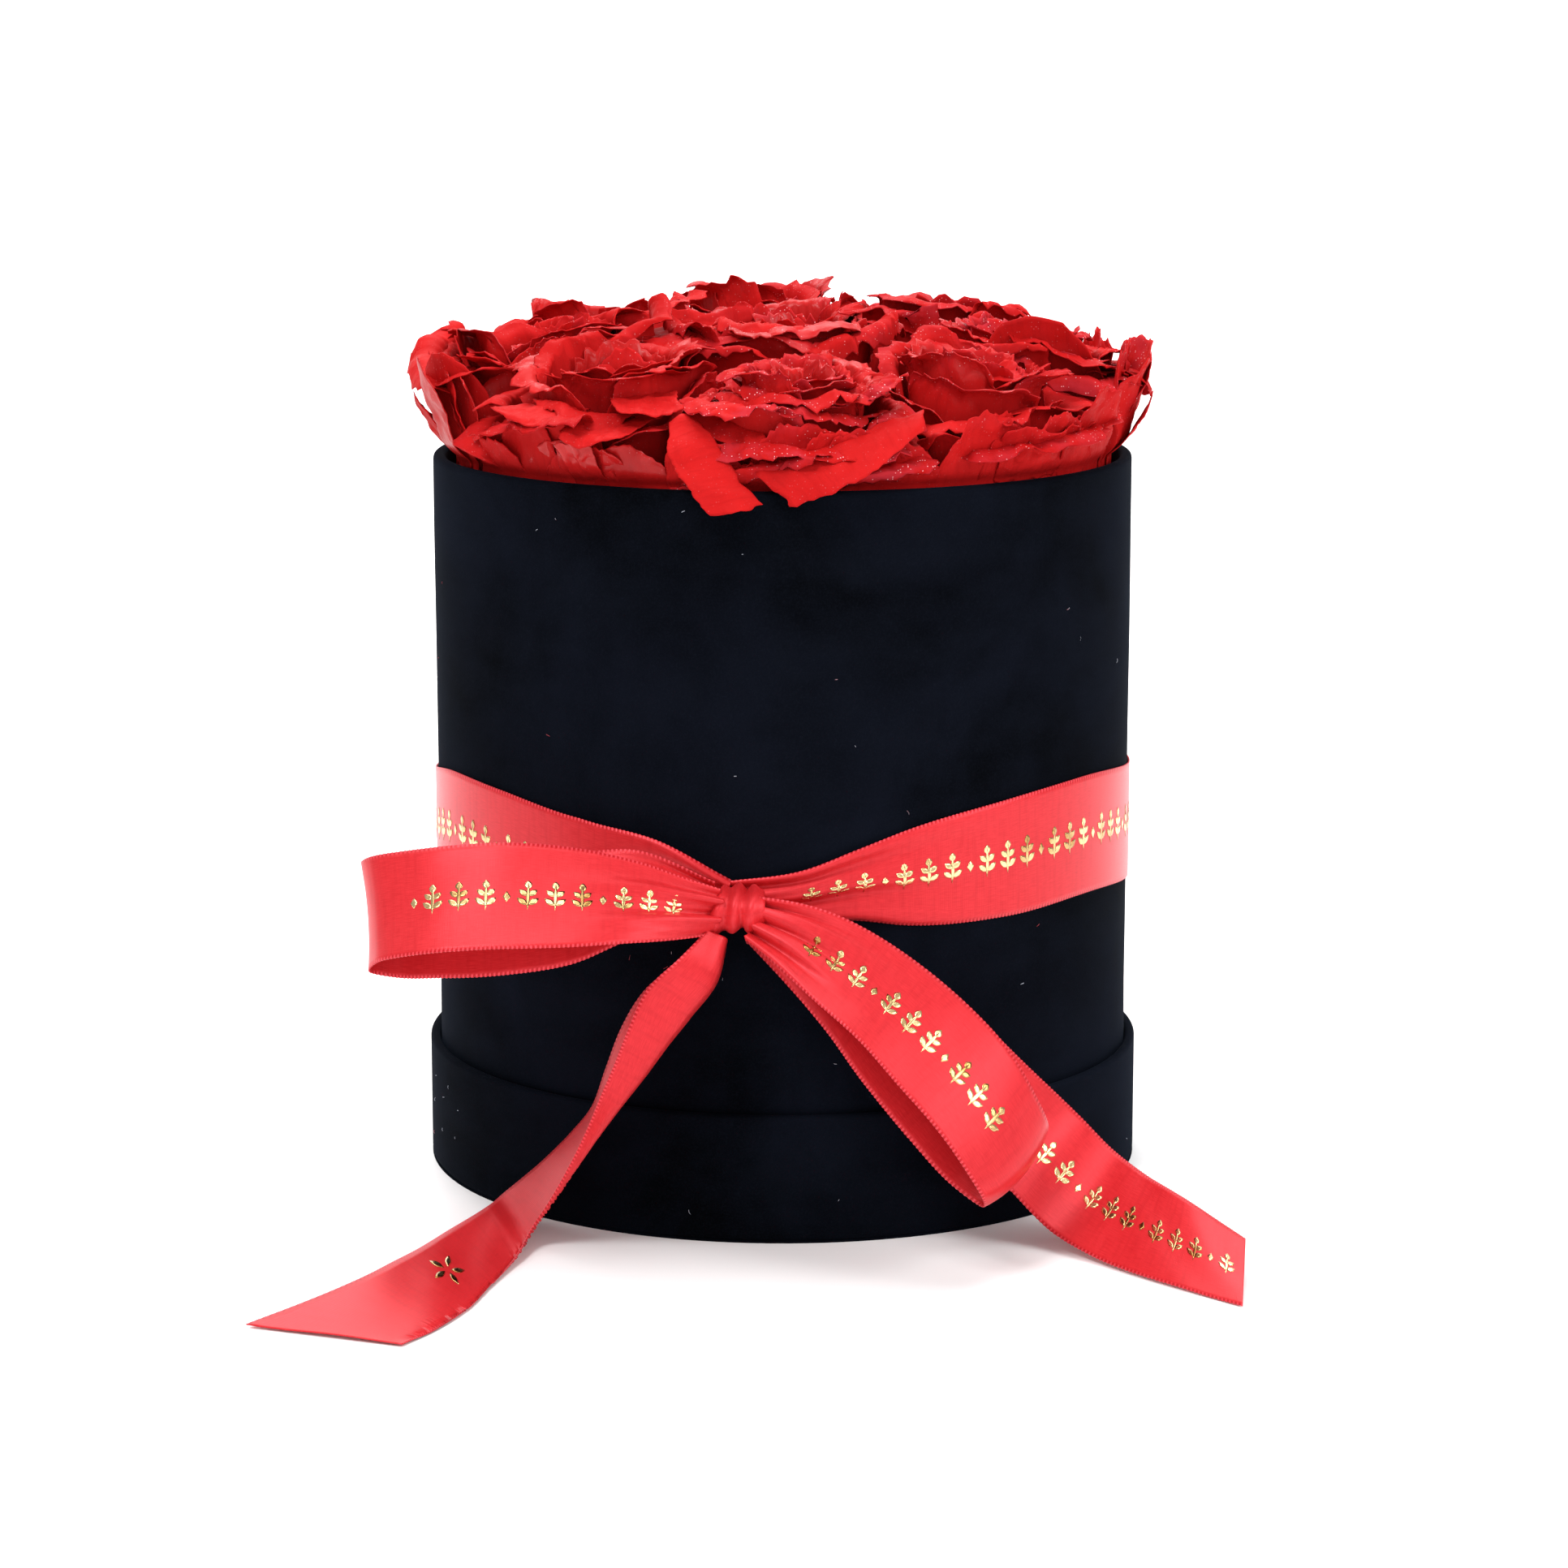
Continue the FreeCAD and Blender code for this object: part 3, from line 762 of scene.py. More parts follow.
class Band(Ribbon):
    """The ribbon round the tube. Along it is measured from the knot, anticlockwise from above."""

    ROWS = [
        (0, 0, 0.4), (11, 1.7, 0.44), (19, 3.7, 0.58), (27, 4.6, 0.78), (45, 6.2, 0.97), (64, 7.3, 1),
        (93, 4.1, 1), (180, 3, 1), (280, 2.3, 1), (301, 6, 1), (317, 5.5, 1), (337, 2.4, 0.98),
        (349, 2, 0.8), (360, 0, 0.4),
    ]

    def __init__(self):
        self.radius = BODY_R + RIBBON_THICKNESS
        self.length = 2 * math.pi * self.radius
        self.turn = math.degrees(math.asin(KNOT[0] / BODY_R))
        self.marks = np.array([row[0] for row in self.ROWS], float)
        self.rows = np.array([row[1:] for row in self.ROWS], float)

    def at(self, along, across, lift=0.0):
        along, across = np.broadcast_arrays(along * 1.0, across * 1.0)
        angle = along / self.length * 360
        row = self.read(self.rows, angle)
        rise, share = row[..., 0], np.clip(row[..., 1], 0.36, 1)
        turn = np.radians(angle + self.turn - 90)
        gather = np.clip(1 - share, 0, 1) ** 1.1
        fold = 1 + np.sin(7.5 * across + 0.03 * along) + 0.5 * np.sin(15 * across + 2)
        r = self.radius + 1.7 * gather * np.maximum(fold, 0) + lift
        z = KNOT[2] + rise + across * share * RIBBON_WIDTH / 2
        return np.stack([r * np.cos(turn), r * np.sin(turn), z], -1)


# Gold motif: a leaf sprig and a lozenge, repeated. Shapes are outlines in millimetres.

def leaf(x, y, angle, length, width):
    """Almond outline from a stalk at x, y."""
    outline = []
    steps = 7
    for k in range(steps + 1):
        t = k / steps
        outline.append((t * length, width / 2 * math.sin(math.pi * t) ** 0.9))
    for k in range(steps - 1, 0, -1):
        t = k / steps
        outline.append((t * length, -width / 2 * math.sin(math.pi * t) ** 0.9))
    c, s = math.cos(angle), math.sin(angle)
    return [(x + c * px - s * py, y + s * px + c * py) for px, py in outline]


def sprig(x):
    """A short upright stem with two pairs of leaves and a bud."""
    shapes = [leaf(x, -3.2, math.pi / 2, 6.6, 0.7)]
    for level, size in ((-1.9, 2.7), (0.3, 2.3)):
        shapes.append(leaf(x, level, math.radians(38), size, 1.3))
        shapes.append(leaf(x, level, math.radians(142), size, 1.3))
    shapes.append(leaf(x, 1.8, math.pi / 2, 2.1, 1.5))
    return shapes


def lozenge(x):
    return [[(x, 1.3), (x - 0.8, 0), (x, -1.3), (x + 0.8, 0)]]


def rosette(x, y, radius, count):
    """A ring of leaves, as a plain stamped ornament."""
    shapes = []
    for k in range(count):
        a = 2 * math.pi * k / count
        shapes.append(leaf(x + radius * math.cos(a), y + radius * math.sin(a), a, 4.8, 2.0))
    return shapes


def border(start, end):
    """Sprigs every few millimetres with a lozenge after each third one."""
    shapes, x, k = [], start, 0
    while x < end:
        shapes += lozenge(x) if k % 4 == 3 else sprig(x)
        x += 4.2 if k % 4 >= 2 else 5.4
        k += 1
    return shapes


def foil(name, strip, shapes, side=1, upside=1, offset=0.0):
    """Thin stamped shapes laid on one face of a ribbon."""
    points, faces = [], []
    for outline in shapes:
        ring = np.array(outline)
        middle = ring.mean(axis=0)
        rings = [middle + (ring - middle) * t for t in (0.5, 1.0)]
        flat = np.vstack([middle[None], *rings])
        along = np.clip(flat[:, 0], 0, strip.length)
        across = (flat[:, 1] * upside + offset) / (RIBBON_WIDTH / 2)
        start, n = len(points), len(ring)
        points += list(strip.at(along, across, side * FOIL_LIFT))
        for k in range(n):
            j = (k + 1) % n
            faces.append((start, start + 1 + k, start + 1 + j))
            faces.append((start + 1 + k, start + 1 + n + k, start + 1 + n + j, start + 1 + j))
    obj = add_mesh(name, points, faces, FOIL, "box", thickness=FOIL_THICKNESS)
    return obj


def ribbon():
    loop_left = Strip(LEFT_LOOP, pleats=2.4, depth=2.4, cup=0.6, seed=1)
    belly = {5: (0.2, 0, -0.2), 6: (0.8, 0, -0.9), 7: (1.8, 0, -1.9), 8: (1.8, 0, -1.9), 9: (0.6, 0, -0.7)}
    loop_right = Strip(RIGHT_LOOP, pleats=3.1, depth=2.8, cup=-0.5, seed=2, arch=belly)
    tail_right = Strip(RIGHT_TAIL, pleats=2.2, depth=1.6, cup=-0.4, seed=3)
    tail_left = FoldedStrip(LEFT_TAIL)
    band = Band()
    ribbon_piece("ribbon_left_loop", loop_left, "ribbon_loop_left")
    ribbon_piece("ribbon_right_loop", loop_right, "ribbon_loop_right")
    ribbon_piece("ribbon_right_tail", tail_right, "ribbon_tail_right")
    ribbon_piece("ribbon_left_tail", tail_left, "ribbon_tail_left")
    ribbon_piece("ribbon_round_band", band, "ribbon_band")
    knot()
    foil("foil_left_loop", loop_left, border(10, 66), side=-1)
    foil("foil_right_loop", loop_right, border(14, 66), side=1)
    foil("foil_right_tail", tail_right, border(76, 134), side=1)
    foil("foil_band", band, border(16, band.length - 26))
    foil("foil_left_tail", tail_left, rosette(112, 1, 1.3, 5), side=1)


# ---------------------------------------------------------------- roses

class Head:
    """Where one rose's petals may go, in millimetres."""

    def __init__(self, number):
        name = f"rose_{number}_"
        stem_low, stem_high = cad(name + "stem")
        head_low, head_high = cad(name + "head")
        self.seat = (stem_low + stem_high) / 2
        self.seat[2] = head_low[2]
        self.height = head_high[2] - head_low[2]
        self.number = number
        self.body = f"rose_{number}"
        self.central = number > RING_ROSES
        ring = math.hypot(self.seat[0], self.seat[1])
        self.out = np.array([1.0, 0.0, 0.0]) if self.central else np.array([*self.seat[:2] / ring, 0.0])
        self.side = np.cross(UP, self.out)
        self.cheek = PETAL_ROOM_R / 3
        self.tilt = 0.0 if self.central else math.radians(8)

    def place(self, out, side, up):
        """Points given as outwards, sideways and up from the rose's seat."""
        flat = np.multiply.outer(out, self.out) + np.multiply.outer(side, self.side)
        return self.seat + flat + np.multiply.outer(up, UP)

    def lean_out(self, points):
        """Tips the flower a little towards the outside of the bouquet."""
        p = points - self.seat
        radial, up = p @ self.out, p[..., 2]
        bent = radial + math.sin(self.tilt) * (up - 12) * smoothstep(0, 14, up)
        lower = up - math.sin(self.tilt) * radial * smoothstep(6, 22, up)
        return self.place(bent, p @ self.side, lower)

    def room(self, azimuth):
        """Distance from the rose's axis to the edge of its share of the bouquet."""
        if self.central:
            return np.full_like(azimuth, self.cheek)
        ring = 2 * self.cheek
        slope = math.tan(math.pi / RING_ROSES)
        c, s = np.cos(azimuth), np.abs(np.sin(azimuth))
        beside = ring * slope / np.maximum(s - c * slope, 0.05)
        outside = -ring * c + np.sqrt(np.maximum(PETAL_ROOM_R**2 - (ring * s) ** 2, 0))
        toward = np.maximum(ring * -c - np.sqrt(np.maximum(self.cheek**2 - (ring * s) ** 2, 0)), self.cheek)
        return np.clip(np.minimum(np.minimum(beside, outside), toward + 5 * (c > -0.8)), 17, 27)

    def keep_in(self, points, rank):
        """Squeezes points into this rose's share of the bouquet, inner petals a little more."""
        slack = 0.16 * rank
        p = points.copy()
        if self.central:
            return squeeze(p, self.cheek + 2.6 - slack)
        radial, lateral = p @ self.out, p @ self.side
        nearest = self.cheek - 0.4 + slack
        past = radial - nearest
        radial = nearest + np.where(past > 3, past, 3 * np.exp((past - 3) / 3))
        limit = np.maximum(radial * math.tan(math.pi / RING_ROSES) + 0.7 - slack, 2.0)
        lateral = np.sign(lateral) * soft_limit(np.abs(lateral), limit)
        p[..., :2] = (radial[..., None] * self.out + lateral[..., None] * self.side)[..., :2]
        return inside_rim(p, slack)


def inside_rim(p, slack):
    """Keeps points inside the tube below its rim and lets them spread above it."""
    above = np.maximum(p[..., 2] - RIM - 0.4, 0)
    return squeeze(p.copy(), np.minimum(THROAT_R - 0.9 + 1.5 * above, BODY_R + 6.5) - slack)


def squeeze(p, limit):
    """Draws points towards the box's axis until they are within the limit."""
    reach = np.linalg.norm(p[..., :2], axis=-1)
    p[..., :2] *= (soft_limit(reach, limit) / np.maximum(reach, 1e-6))[..., None]
    return p


def soft_limit(x, limit):
    """x while it is well under the limit, then easing up to it."""
    knee = 0.95 * limit
    over = np.maximum(x - knee, 0)
    room = limit - knee
    return np.minimum(x, knee) + room * (1 - np.exp(-over / np.maximum(room, 1e-6)))


def even(rows, columns, start):
    """Shares down the rows and from start to 1 across the columns of a petal's mesh."""
    down = np.linspace(0, 1, rows)[:, None] * np.ones(columns)
    return down, np.linspace(start, 1, columns)[None, :] * np.ones((rows, 1))


class Petals:
    """Gathers the petals of one rose into a single piece."""

    def __init__(self, head, frosting):
        self.head, self.frosting = head, frosting
        self.points, self.faces, self.uv = [], [], []
        # depth is painted shade, darker where the petals lie in shade.
        self.values = {"depth": [], "frost": [], "tone": [], "gloss": []}

    def add(self, grid, uv, depth, frost, tone=0.0, gloss=0.0):
        rows, columns = grid.shape[:2]
        self.faces += grid_faces(rows, columns, len(self.points))
        self.points += list(grid.reshape(-1, 3))
        self.uv += list(uv.reshape(-1, 2))
        # depth carries painted shade.
        given = {"depth": depth, "frost": frost * self.frosting, "tone": tone, "gloss": gloss}
        for key, value in given.items():
            self.values[key] += list(np.clip(np.broadcast_to(value, (rows, columns)), -1, 1).ravel())

    def build(self):
        number = self.head.number
        obj = add_mesh(
            f"rose_{number}_petals", self.points, self.faces, PETAL, self.head.body, self.uv,
            self.values, thickness=PETAL_THICKNESS,
        )
        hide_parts(f"rose_{number}_head")


def half_section(girth, top, lip, lean):
    """Radius and height along a petal: a cup wall, then a lip that turns to the angle lean.

    Also gives the share of the length at which the lip starts."""
    steps = 24
    k = np.linspace(0, 1, steps + 1)[1:]
    slope = math.pi / 2 + (math.radians(lean) - math.pi / 2) * smoothstep(0, 0.7, k)
    lip_r = np.cumsum(np.cos(slope)) * lip / steps
    lip_h = np.cumsum(np.sin(slope)) * lip / steps
    wall = top - max(lip_h.max(), 0)
    t = np.linspace(0, 1, 30)
    r = np.concatenate([1.5 + (girth - 1.5) * np.sin(t * math.pi / 2) ** 0.8, girth + lip_r])
    h = np.concatenate([wall * t, wall + lip_h])
    along = np.concatenate([[0], np.cumsum(np.hypot(np.diff(r), np.diff(h)))])
    return r, h, along / along[-1], along[29] / along[-1], along[-1]


def cup_petal(petals, rng, seed, s, rank, style):
    """One petal of the spiral; s runs from 0 at the heart to 1 at the outside."""
    head = petals.head
    girth = 1.3 + (head.cheek - 3.2) * s**0.75 * rng.uniform(0.94, 1.03)
    rise = style["heart"] + (1 - style["heart"]) * smoothstep(0, 0.3, s)
    rise -= style["drop"] * smoothstep(0.42, 1.05, s)
    top = head.height * rise * rng.uniform(0.90, 1.03)
    lip = 2.4 + 6.5 * s**0.7 * rng.uniform(0.6, 1.5)
    lean = style["curl"] - 82 * smoothstep(0.08, 0.6, s) - 30 * smoothstep(0.6, 1, s) + rng.uniform(-28, 28)
    spread = (1.75 - 0.95 * s) * rng.uniform(0.85, 1.15)
    frill = (0.7 + 1.9 * s) * rng.uniform(0.7, 1.4)
    rows, columns = (14, 21) if s < 0.35 else (26, 35)
    r_of, h_of, place, lip_start, length = half_section(girth, top, lip, lean)
    wall_rows = rows * 2 // 5
    v = np.concatenate([
        np.linspace(0, lip_start, wall_rows, endpoint=False),
        np.linspace(lip_start, 1, rows - wall_rows),
    ])[:, None] * np.ones(columns)
    u = np.linspace(-1, 1, columns)[None, :] * np.ones((rows, 1))
    over = smoothstep(lip_start * 0.92, 1, v)
    uneven = 0.7 * ripple(u * 1.6, seed) + 0.4 * ripple(u * 5.0, seed + 0.5)
    uneven += 0.35 * ripple(u * 13.0, seed + 0.7)
    outline = 1 - rng.uniform(0.10, 0.24) * np.abs(u) ** 2.6 + 0.13 * uneven
    grown = v * (1 + (outline - 1) * smoothstep(0.2, 1, v))
    r = np.interp(grown, place, r_of)
    h = np.interp(grown, place, h_of)
    turn = s * style["petals"] * GOLDEN_ANGLE + rng.uniform(-0.25, 0.25)
    azimuth = turn + u * spread * (1 - 0.12 * over)
    r = r * (1 + (head.room(azimuth) / (head.cheek - 2) - 1) * np.clip(r / head.cheek, 0, 1) ** 2)
    r = r + rng.uniform(0.5, 1.2) * u * smoothstep(0.1, 0.4, v)
    r = r + frill * over * ripple(u * 2.4 + 0.3 * v, seed + 1) + 1.4 * np.abs(u) ** 4 * over
    h = h + frill * over * ripple(u * 3.1 - v, seed + 2) - rng.uniform(0, 2.2) * np.abs(u) ** 3 * over
    h = h + rng.uniform(-1, 1) * (3 + 4 * s) * u * v
    grid = head.place(r * np.cos(azimuth), r * np.sin(azimuth), h)
    creased = style["crumple"] * (0.35 + 0.65 * over)
    grid = crumple(grid, creased, seed + 3)
    grid = head.keep_in(head.lean_out(grid), rank)
    # Painted shade: darker down in the cup, less so on the outer petals.
    depth = smoothstep(0.95, 0.45, v) * (1 - 0.7 * s)
    frost = smoothstep(lip_start, 1, v) * rng.uniform(0.2, 1.0)
    uv = np.stack([u * girth * spread, v * length], -1)
    petals.add(grid, uv, depth, frost, rng.uniform(-0.7, 0.7), 0.5 * (rng.uniform() > 0.8))


def wall_petal(petals, rng, seed, sideways, layer, style):
    """One broad petal standing against the tube, its top spreading over the rim."""
    head = petals.head
    rows, columns = 30, 24
    foot = 11
    low, high = style["wall"]
    top, half = rng.uniform(low, high), rng.uniform(9, 13)
    spread, turned = rng.uniform(1, 6), rng.uniform(-2, 2)
    v, u = even(rows, columns, -1)
    uneven = 0.6 * ripple(u * 1.5, seed) + 0.3 * ripple(u * 5, seed + 0.5)
    uneven += 0.25 * ripple(u * 13, seed + 0.7)
    outline = 1 - rng.uniform(0.1, 0.3) * np.abs(u) ** 2.4 + 0.14 * uneven
    up = -foot + (top + foot) * v * (1 + (outline - 1) * smoothstep(0.3, 1, v))
    wide = half * (0.65 + 0.35 * smoothstep(0, 0.5, v)) * (1 - 0.2 * smoothstep(0.6, 1, v))
    angle = (sideways + turned * v + u * wide) / THROAT_R
    reach = THROAT_R - 1.5 - 0.8 * layer + spread * smoothstep(-3, max(top, 8) + 4, up) ** 1.4
    reach = reach + (1.3 * ripple(u * 1.4 + v, seed + 1) + 1.6 * np.abs(u) ** 3) * smoothstep(0, 12, up)
    ring = math.hypot(head.seat[0], head.seat[1])
    grid = head.place(reach * np.cos(angle) - ring, reach * np.sin(angle), up + RIM - head.seat[2])
    grid = head.keep_in(crumple(grid, 0.35 + 0.3 * smoothstep(0.6, 1, v), seed + 3), layer)
    uv = np.stack([u * half, v * (top + foot)], -1)
    shiny = 0.8 * (rng.uniform() < style["shine"])
    # Painted shade at the foot of the petal, down inside the tube.
    depth, frost = 0.35 * smoothstep(0.3, 0, v), 0.3 * smoothstep(0.7, 1, v)
    petals.add(grid, uv, depth, frost, rng.uniform(-0.6, 0.6), shiny)


def crumple(points, amount, seed):
    """Papery creases: broad buckles, and sharper folds of two sizes."""
    moved = []
    for k in range(3):
        broad = wobble(points, 8.0, seed + k)
        sharp = 0.5 - 2 * np.abs(wobble(points, 3.6, seed + 9 + k))
        fine = 0.5 - 2 * np.abs(wobble(points, 1.9, seed + 17 + k))
        moved.append(0.9 * broad + 0.8 * sharp + 0.3 * fine)
    return points + np.asarray(amount)[..., None] * np.stack(moved, -1)


def loose_petal(petals, seed, inner, outer, bulge=0.5, crease=0.5, frost=0.2, gloss=0.0, tone=0.2,
                jag=0.8, hangs=False):
    """A fallen or standing petal between an inner and an outer edge.

    Each edge is a list of places outwards, sideways and up from the rose's seat. A petal that
    hangs lies outside the tube, over its rim; any other is kept inside it."""
    head = petals.head
    rows, columns = 30, 24
    trim = 0.04
    u, v = even(rows, columns, 0)
    u = 2 * u - 1
    broken = ripple(u * 3.0, seed) + 0.6 * ripple(u * 9.0, seed + 0.4) + 0.4 * ripple(u * 21.0, seed + 0.6)
    ragged = ripple(v * 3.0 + np.sign(u) * 5, seed + 0.8) * np.abs(u) ** 6
    reach = (u * (1 - trim * np.abs(2 * v - 1) ** 4 + 0.16 * ragged) + 1) / 2
    share = 0.5 + (v - 0.5) * (1 - 2.5 * trim * np.abs(u) ** 6)
    inner, outer = straight(inner, np.clip(reach, 0, 1)), straight(outer, np.clip(reach, 0, 1))
    local = inner + (outer - inner) * share[..., None]
    across = unit(outer - inner)
    local = local + across * (jag * broken * smoothstep(0.45, 1, v))[..., None]
    normal = unit(np.cross(np.gradient(local, axis=0), across))
    normal = normal * np.sign(normal[..., 2:] + 1e-9)
    swell = bulge * (1 - (2 * v - 1) ** 2) + 0.7 * bulge * ripple(u * 1.7 + v, seed + 2)
    local = local + normal * swell[..., None]
    grid = crumple(head.place(local[..., 0], local[..., 1], local[..., 2]), crease, seed + 5)
    if not hangs:
        grid = inside_rim(grid, 0.3)
    size = np.linalg.norm(outer - inner, axis=-1).mean()
    uv = np.stack([u * 12, v * size], -1)
    # Painted shade: darker towards the inner edge.
    petals.add(grid, uv, 0.5 * (1 - v) ** 2, frost * smoothstep(0.3, 1, v), tone, gloss)


# Middles of the petals that stand against the tube, in millimetres along its wall.
OUTER_LAYER = (-19, -7, 6, 18)
INNER_LAYER = (-13, 0, 13)

# How each rose looks. Share of its height that the heart has, drop of the outer rounds, curl of
# the inner lips in degrees, creasing in millimetres, share of frost, number of petals in the
# spiral, heights of the tops of the wall petals over the rim, and share of shiny ones.
STYLE = ("heart", "drop", "curl", "crumple", "frosting", "petals", "wall", "shine")
ROSES = {
    1: (0.97, 0.36, 52, 1.0, 1.0, 30, (4, 13), 0.0),
    2: (1.0, 0.34, 84, 0.6, 0.5, 26, (8, 17), 0.1),
    3: (0.96, 0.16, 60, 0.8, 1.0, 28, (14, 24), 0.1),
    4: (0.95, 0.18, 66, 0.7, 0.9, 28, (10, 20), 0.2),
    5: (0.94, 0.18, 70, 0.6, 0.6, 28, (10, 20), 0.2),
    6: (0.86, 0.16, 64, 0.6, 0.5, 28, (9, 18), 0.2),
    7: (0.9, 0.1, 74, 0.5, 0.4, 26, (14, 22), 0.3),
    8: (0.93, 0.28, 72, 0.5, 0.3, 26, (6, 13), 0.3),
    9: (0.95, 0.1, 58, 0.7, 0.7, 32, (0, 0), 0.0),
}

# Petals that have come loose or stand apart: seed, inner edge, outer edge, and what sets it apart.
LOOSE = {
    1: [
        (11, [(16, -22, 32), (22, -18, 28), (28, -13, 20), (32, -8, 15.5)],
         [(19, -27, 31), (25, -27, 25), (30, -22, 17), (31.5, -19, 13)],
         dict(bulge=0.9, crease=0.35, frost=0.05, tone=0.7, hangs=True)),
        (12, [(27, -11, 22), (24, 3, 26), (20, 17, 31), (18, 24, 33)],
         [(31, -3, 15), (32, 5, 18), (30, 14, 22), (24, 24, 30)],
         dict(bulge=0.9, crease=0.35, frost=0.05, tone=0.8, hangs=True)),
        (13, [(6, 9, 37), (6, 15, 38)], [(17, 11, 33), (20, 16, 36), (13, 22, 40)],
         dict(crease=1.1, frost=1.0, tone=-0.3)),
        (14, [(6, -18, 35), (13, -13, 31), (19, -7, 29)], [(11, -25, 34), (20, -18, 27), (26, -7, 25)],
         dict(tone=-0.2)),
        (15, [(5, -9, 38), (9, 1, 36), (5, 10, 37)], [(15, -13, 36), (21, 1, 33), (16, 12, 34)],
         dict(crease=1.2, frost=1.0, tone=0.1)),
    ],
    2: [
        (21, [(4, -9, 38), (8, 0, 38), (4, 9, 38)], [(10, -14, 38), (16, -1, 36), (11, 12, 37)],
         dict(crease=0.7, frost=0.9, tone=-0.1)),
        (22, [(22, -14, 17), (24, -4, 17), (23, 6, 17)], [(26, -16, 29), (29, -3, 27), (27, 8, 28)],
         dict(bulge=1.2, crease=0.8, tone=0.2)),
    ],
    3: [
        (31, [(0, -16, 28), (9, -16, 28), (17, -13, 26)],
         [(-6, -15, 42), (-3, -16, 46), (3, -17, 47.5), (10, -18, 46), (15, -20, 41), (19, -20, 34)],
         dict(bulge=1.6, crease=0.2, frost=0.1, tone=0.6, jag=0.1)),
        (34, [(-4, -16, 10), (8, -21, 10), (20, -25, 12)],
         [(-4, -14, 33), (4, -18, 36), (12, -21, 33), (21, -26, 35)],
         dict(bulge=1.4, crease=0.5, tone=-0.1)),
        (35, [(12, -23, 12), (22, -19, 12), (25, -8, 12)],
         [(14, -26, 27), (22, -25, 34), (29, -16, 38), (31, -6, 36)],
         dict(bulge=1.2, crease=0.5, tone=0.2)),
        (32, [(23, -16, 16), (23, -4, 16), (22, 8, 16)], [(28, -18, 33), (32, -6, 41), (27, 6, 42)],
         dict(bulge=1.4, frost=0.6)),
        (33, [(22, -21, 16), (23, -12, 16)], [(28, -20, 28), (31, -13, 31)], dict(tone=0.4)),
    ],
    6: [
        (61, [(-9, -14, 35), (-12, 0, 35), (-9, 12, 35)], [(-14, -19, 43), (-18, 0, 43), (-15, 15, 44)],
         {}),
    ],
    7: [
        (71, [(23, 4, 16), (23, 14, 16), (22, 24, 16)],
         [(26, 6, 31), (28, 14, 34), (33, 22, 40), (25, 29, 33)], dict(bulge=1.0, gloss=0.6)),
        (72, [(23, -6, 16), (23, 5, 16), (23, 16, 16)],
         [(25, -5, 24), (28, 3, 27), (32, 13, 32), (25, 18, 25)], {}),
        (73, [(19, 17, 16), (17, 25, 16)], [(22, 18, 36), (20, 30, 36)],
         dict(bulge=1.5, crease=0.4, gloss=0.6, tone=0.3)),
        (75, [(-6, 15, 10), (6, 20, 10), (15, 24, 12)],
         [(-7, 13, 30), (0, 16, 36), (9, 19, 38), (17, 22, 34)],
         dict(bulge=1.6, crease=0.3, gloss=0.5, tone=0.5)),
        (76, [(10, 23, 12), (18, 23, 12), (24, 17, 12)],
         [(11, 24, 27), (18, 25, 37), (25, 20, 41), (29, 12, 38)], dict(bulge=1.2, crease=0.3, tone=0.2)),
        (74, [(9, 4, 36), (12, 13, 35), (7, 21, 35)], [(17, 4, 38), (22, 16, 40), (13, 26, 39)],
         dict(crease=0.8, jag=1.0)),
    ],
    8: [
        (81, [(14, 8, 34), (10, 14, 35), (5, 18, 36)], [(25, 20, 33), (20, 26, 32), (15, 30, 33)],
         dict(tone=0.6)),
        (82, [(20, 6, 31), (15, 12, 31), (10, 20, 31)], [(33, 10, 27), (34, 16, 26), (27, 24, 28)],
         dict(tone=0.7)),
        (83, [(21, -6, 32), (18, 0, 33), (17, 6, 32)], [(32, -10, 32), (34, -2, 30), (30, 8, 29)],
         dict(tone=0.4)),
        (84, [(22, 7, 14), (22, 14, 14)], [(28, 6, 26), (26, 14, 26)],
         dict(crease=0.8, gloss=1.0, tone=0.3)),
    ],
    9: [
        (91, [(-34, 0, 43), (-20, 0, 44), (-3, 0, 45)], [(-37, -14, 41), (-20, -21, 41), (-2, -18, 43)],
         dict(bulge=0.8, crease=0.9, frost=0.5, tone=0.1)),
        (92, [(-34, 2, 39), (-20, 4, 40), (-6, 2, 40)],
         [(-41, 5, 46), (-24, 7, 47), (-14, 6, 46), (-6, 5, 50)], dict(crease=0.8, tone=-0.6)),
    ],
}


def rose(number):
    """A full-blown rose: frilled heart, rounds of wider petals whose lips roll back, petals that
    stand against the tube, and loose ones."""
    style = dict(zip(STYLE, ROSES[number]))
    rng = np.random.default_rng(40 + number)
    petals = Petals(Head(number), style["frosting"])
    count = style["petals"]
    for i in range(count):
        cup_petal(petals, rng, 40 * number + i * 1.37, (i + 0.5) / count, count - 1 - i, style)
    if not petals.head.central:
        for k, sideways in enumerate(OUTER_LAYER + INNER_LAYER):
            wall_petal(petals, rng, 500 + 20 * number + k * 1.7, sideways, k // len(OUTER_LAYER), style)
    for seed, inner, outer, options in LOOSE.get(number, []):
        loose_petal(petals, seed, inner, outer, **options)
    petals.build()


def roses():
    for number in range(1, RING_ROSES + 2):
        rose(number)


# ---------------------------------------------------------------- stage

def softbox(name, place, aim, size, power, colour=(1, 1, 1)):
    """An oblong lamp. Places and sizes are in metres, the power in watts."""
    light = bpy.data.lights.new(name, "AREA")
    light.shape = "RECTANGLE"
    light.size, light.size_y = size
    light.energy = power
    light.color = colour
    obj = add_object(name, light)
    obj.location = place
    obj.rotation_euler = (Vector(aim) - Vector(place)).to_track_quat("-Z", "Y").to_euler()


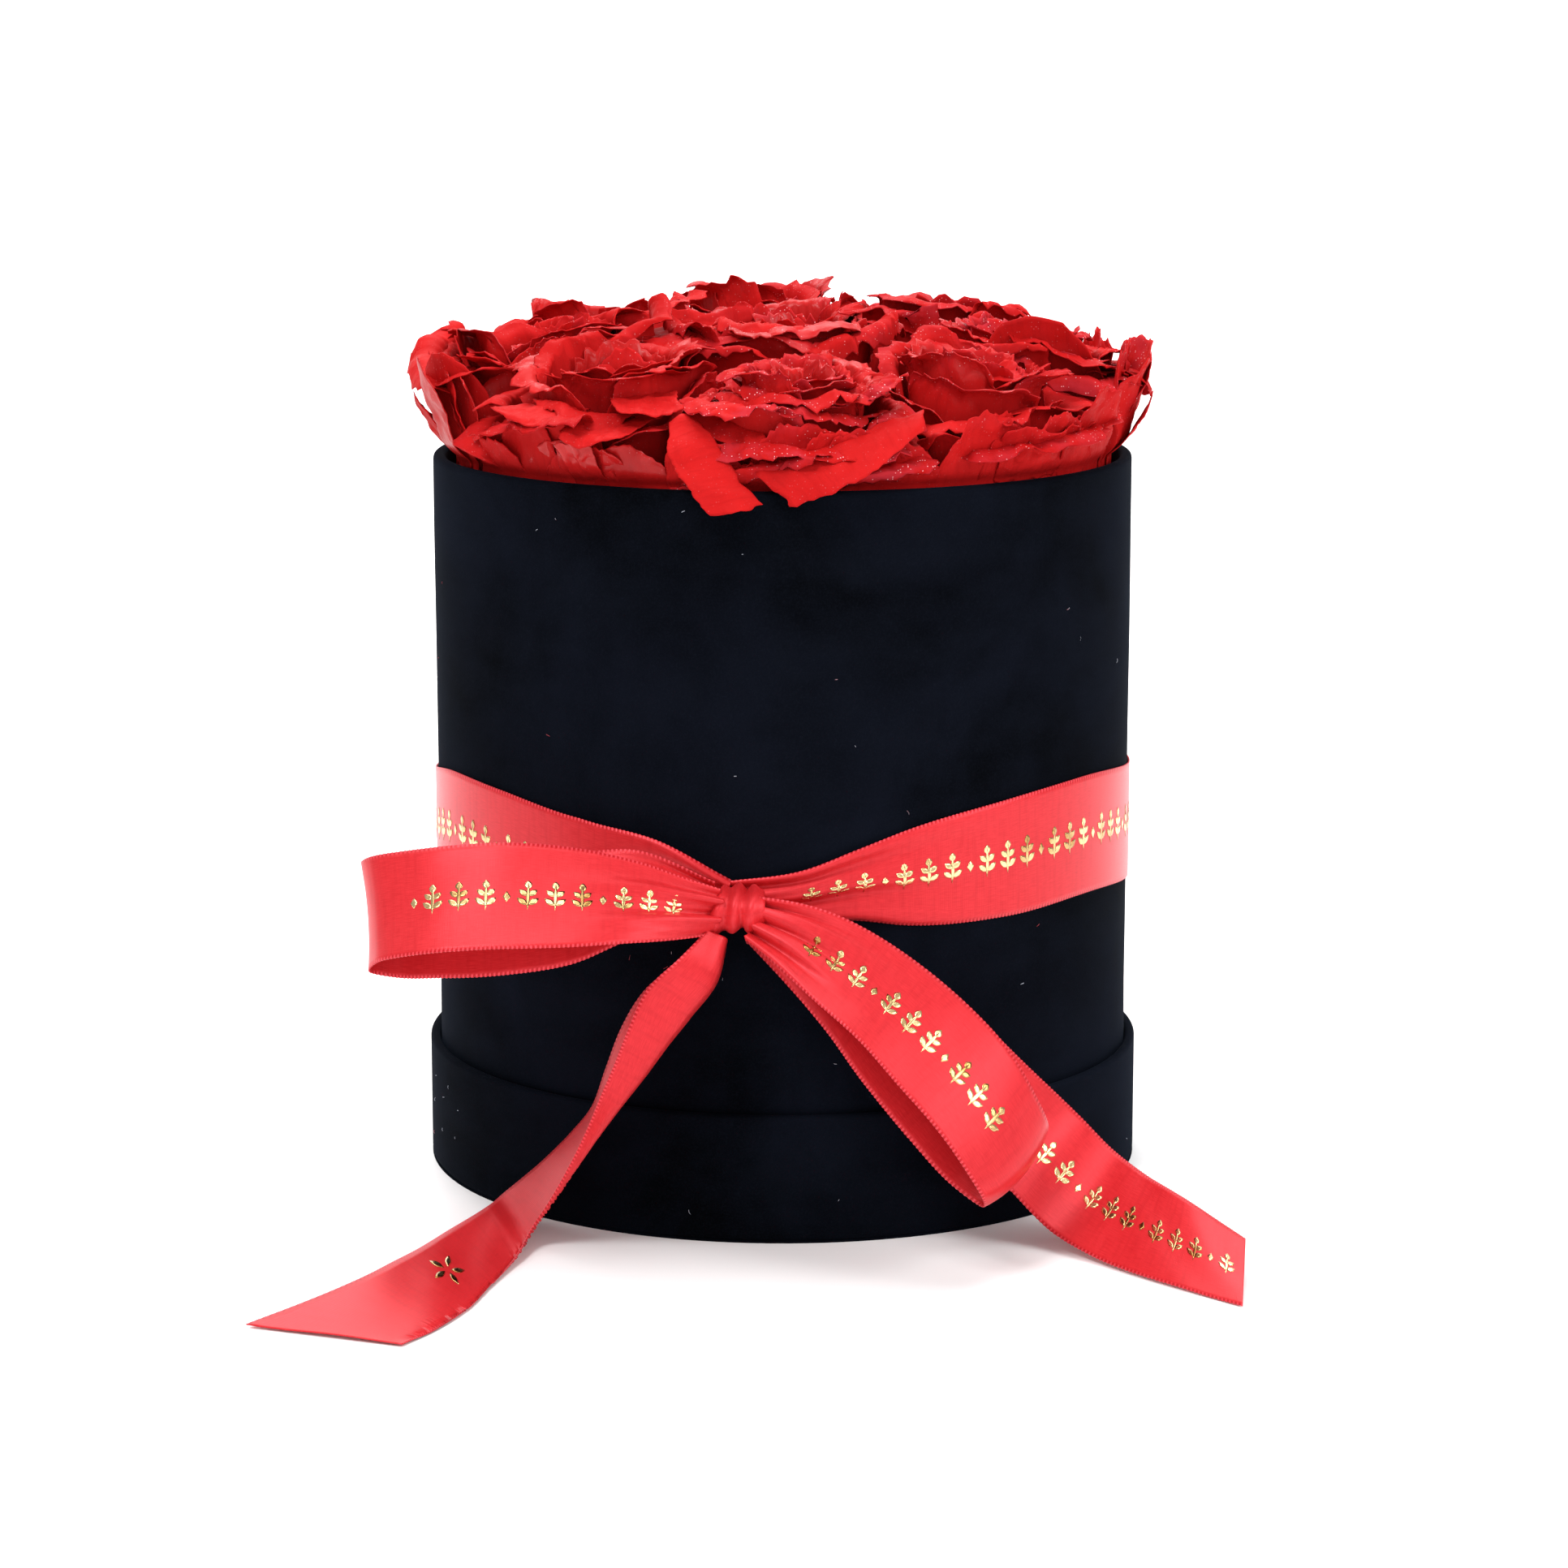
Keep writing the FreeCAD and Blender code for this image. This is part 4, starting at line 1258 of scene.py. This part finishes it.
def studio():
    """Seamless pale sweep, soft lamps all round, a lamp on the sweep behind, and the camera."""
    rows = [(-3.0, 0.0), (1.2, 0.0)]
    for k in range(1, 13):
        angle = math.pi / 2 * k / 12
        rows.append((1.2 + 1.2 * math.sin(angle), 1.2 * (1 - math.cos(angle))))
    rows.append((2.4, 4.0))
    points = [(x / MM, y / MM, z / MM) for y, z in rows for x in (-4.0, 4.0)]
    mesh = bpy.data.meshes.new("floor")
    mesh.from_pydata((np.array(points) * MM).tolist(), [], grid_faces(len(rows), 2))
    mesh.materials.append(floor_material())
    mesh.shade_smooth()
    floor = add_object("floor", mesh)

    world = bpy.data.worlds.new("studio")
    bpy.context.scene.world = world
    world.use_nodes = True
    background = world.node_tree.nodes["Background"]
    background.inputs[0].default_value = (1, 1, 1, 1)
    background.inputs[1].default_value = 0.5
    for lamp in (
        ("key", (-0.55, -0.75, 1.35), (0, 0, 0.1), (0.5, 0.5), 12.5),
        ("side", (1.2, -0.6, 0.8), (0, 0, 0.1), (0.6, 0.8), 9),
        ("top", (0.1, 0.2, 1.5), (0, 0, 0.1), (1.0, 1.0), 12),
        ("fill", (0.1, -1.4, 0.45), (0, 0, 0.15), (0.9, 0.6), 3),
        ("back", (-0.15, 0.9, 1.25), (0, 0, 0.05), (0.7, 0.5), 7, (1.0, 0.93, 0.95)),
        ("backdrop", (0, 0.9, 1.6), (0, 2.3, 0.5), (2.4, 0.6), 40),
    ):
        softbox(*lamp)

    camera = bpy.data.cameras.new("camera")
    camera.lens = 98.5
    camera.sensor_width = 36
    obj = add_object("camera", camera)
    obj.location = (0.0003, -0.9193, 0.2591)
    obj.rotation_euler = (math.radians(90 - 10.99), 0, 0)
    bpy.context.scene.camera = obj
    bpy.context.scene.view_settings.view_transform = "Standard"


dress_cad_nodes()
velvet_wrap()
velvet_lid()
seam("velvet_seam_box", BODY_R - 0.05, LID_TOP + 1, RIM - 2, "box", math.radians(80))
seam("velvet_seam_lid", LID_R - 0.05, 1.0, LID_TOP - 1.2, "lid_base", math.radians(96))
lint()
ribbon()
roses()
studio()
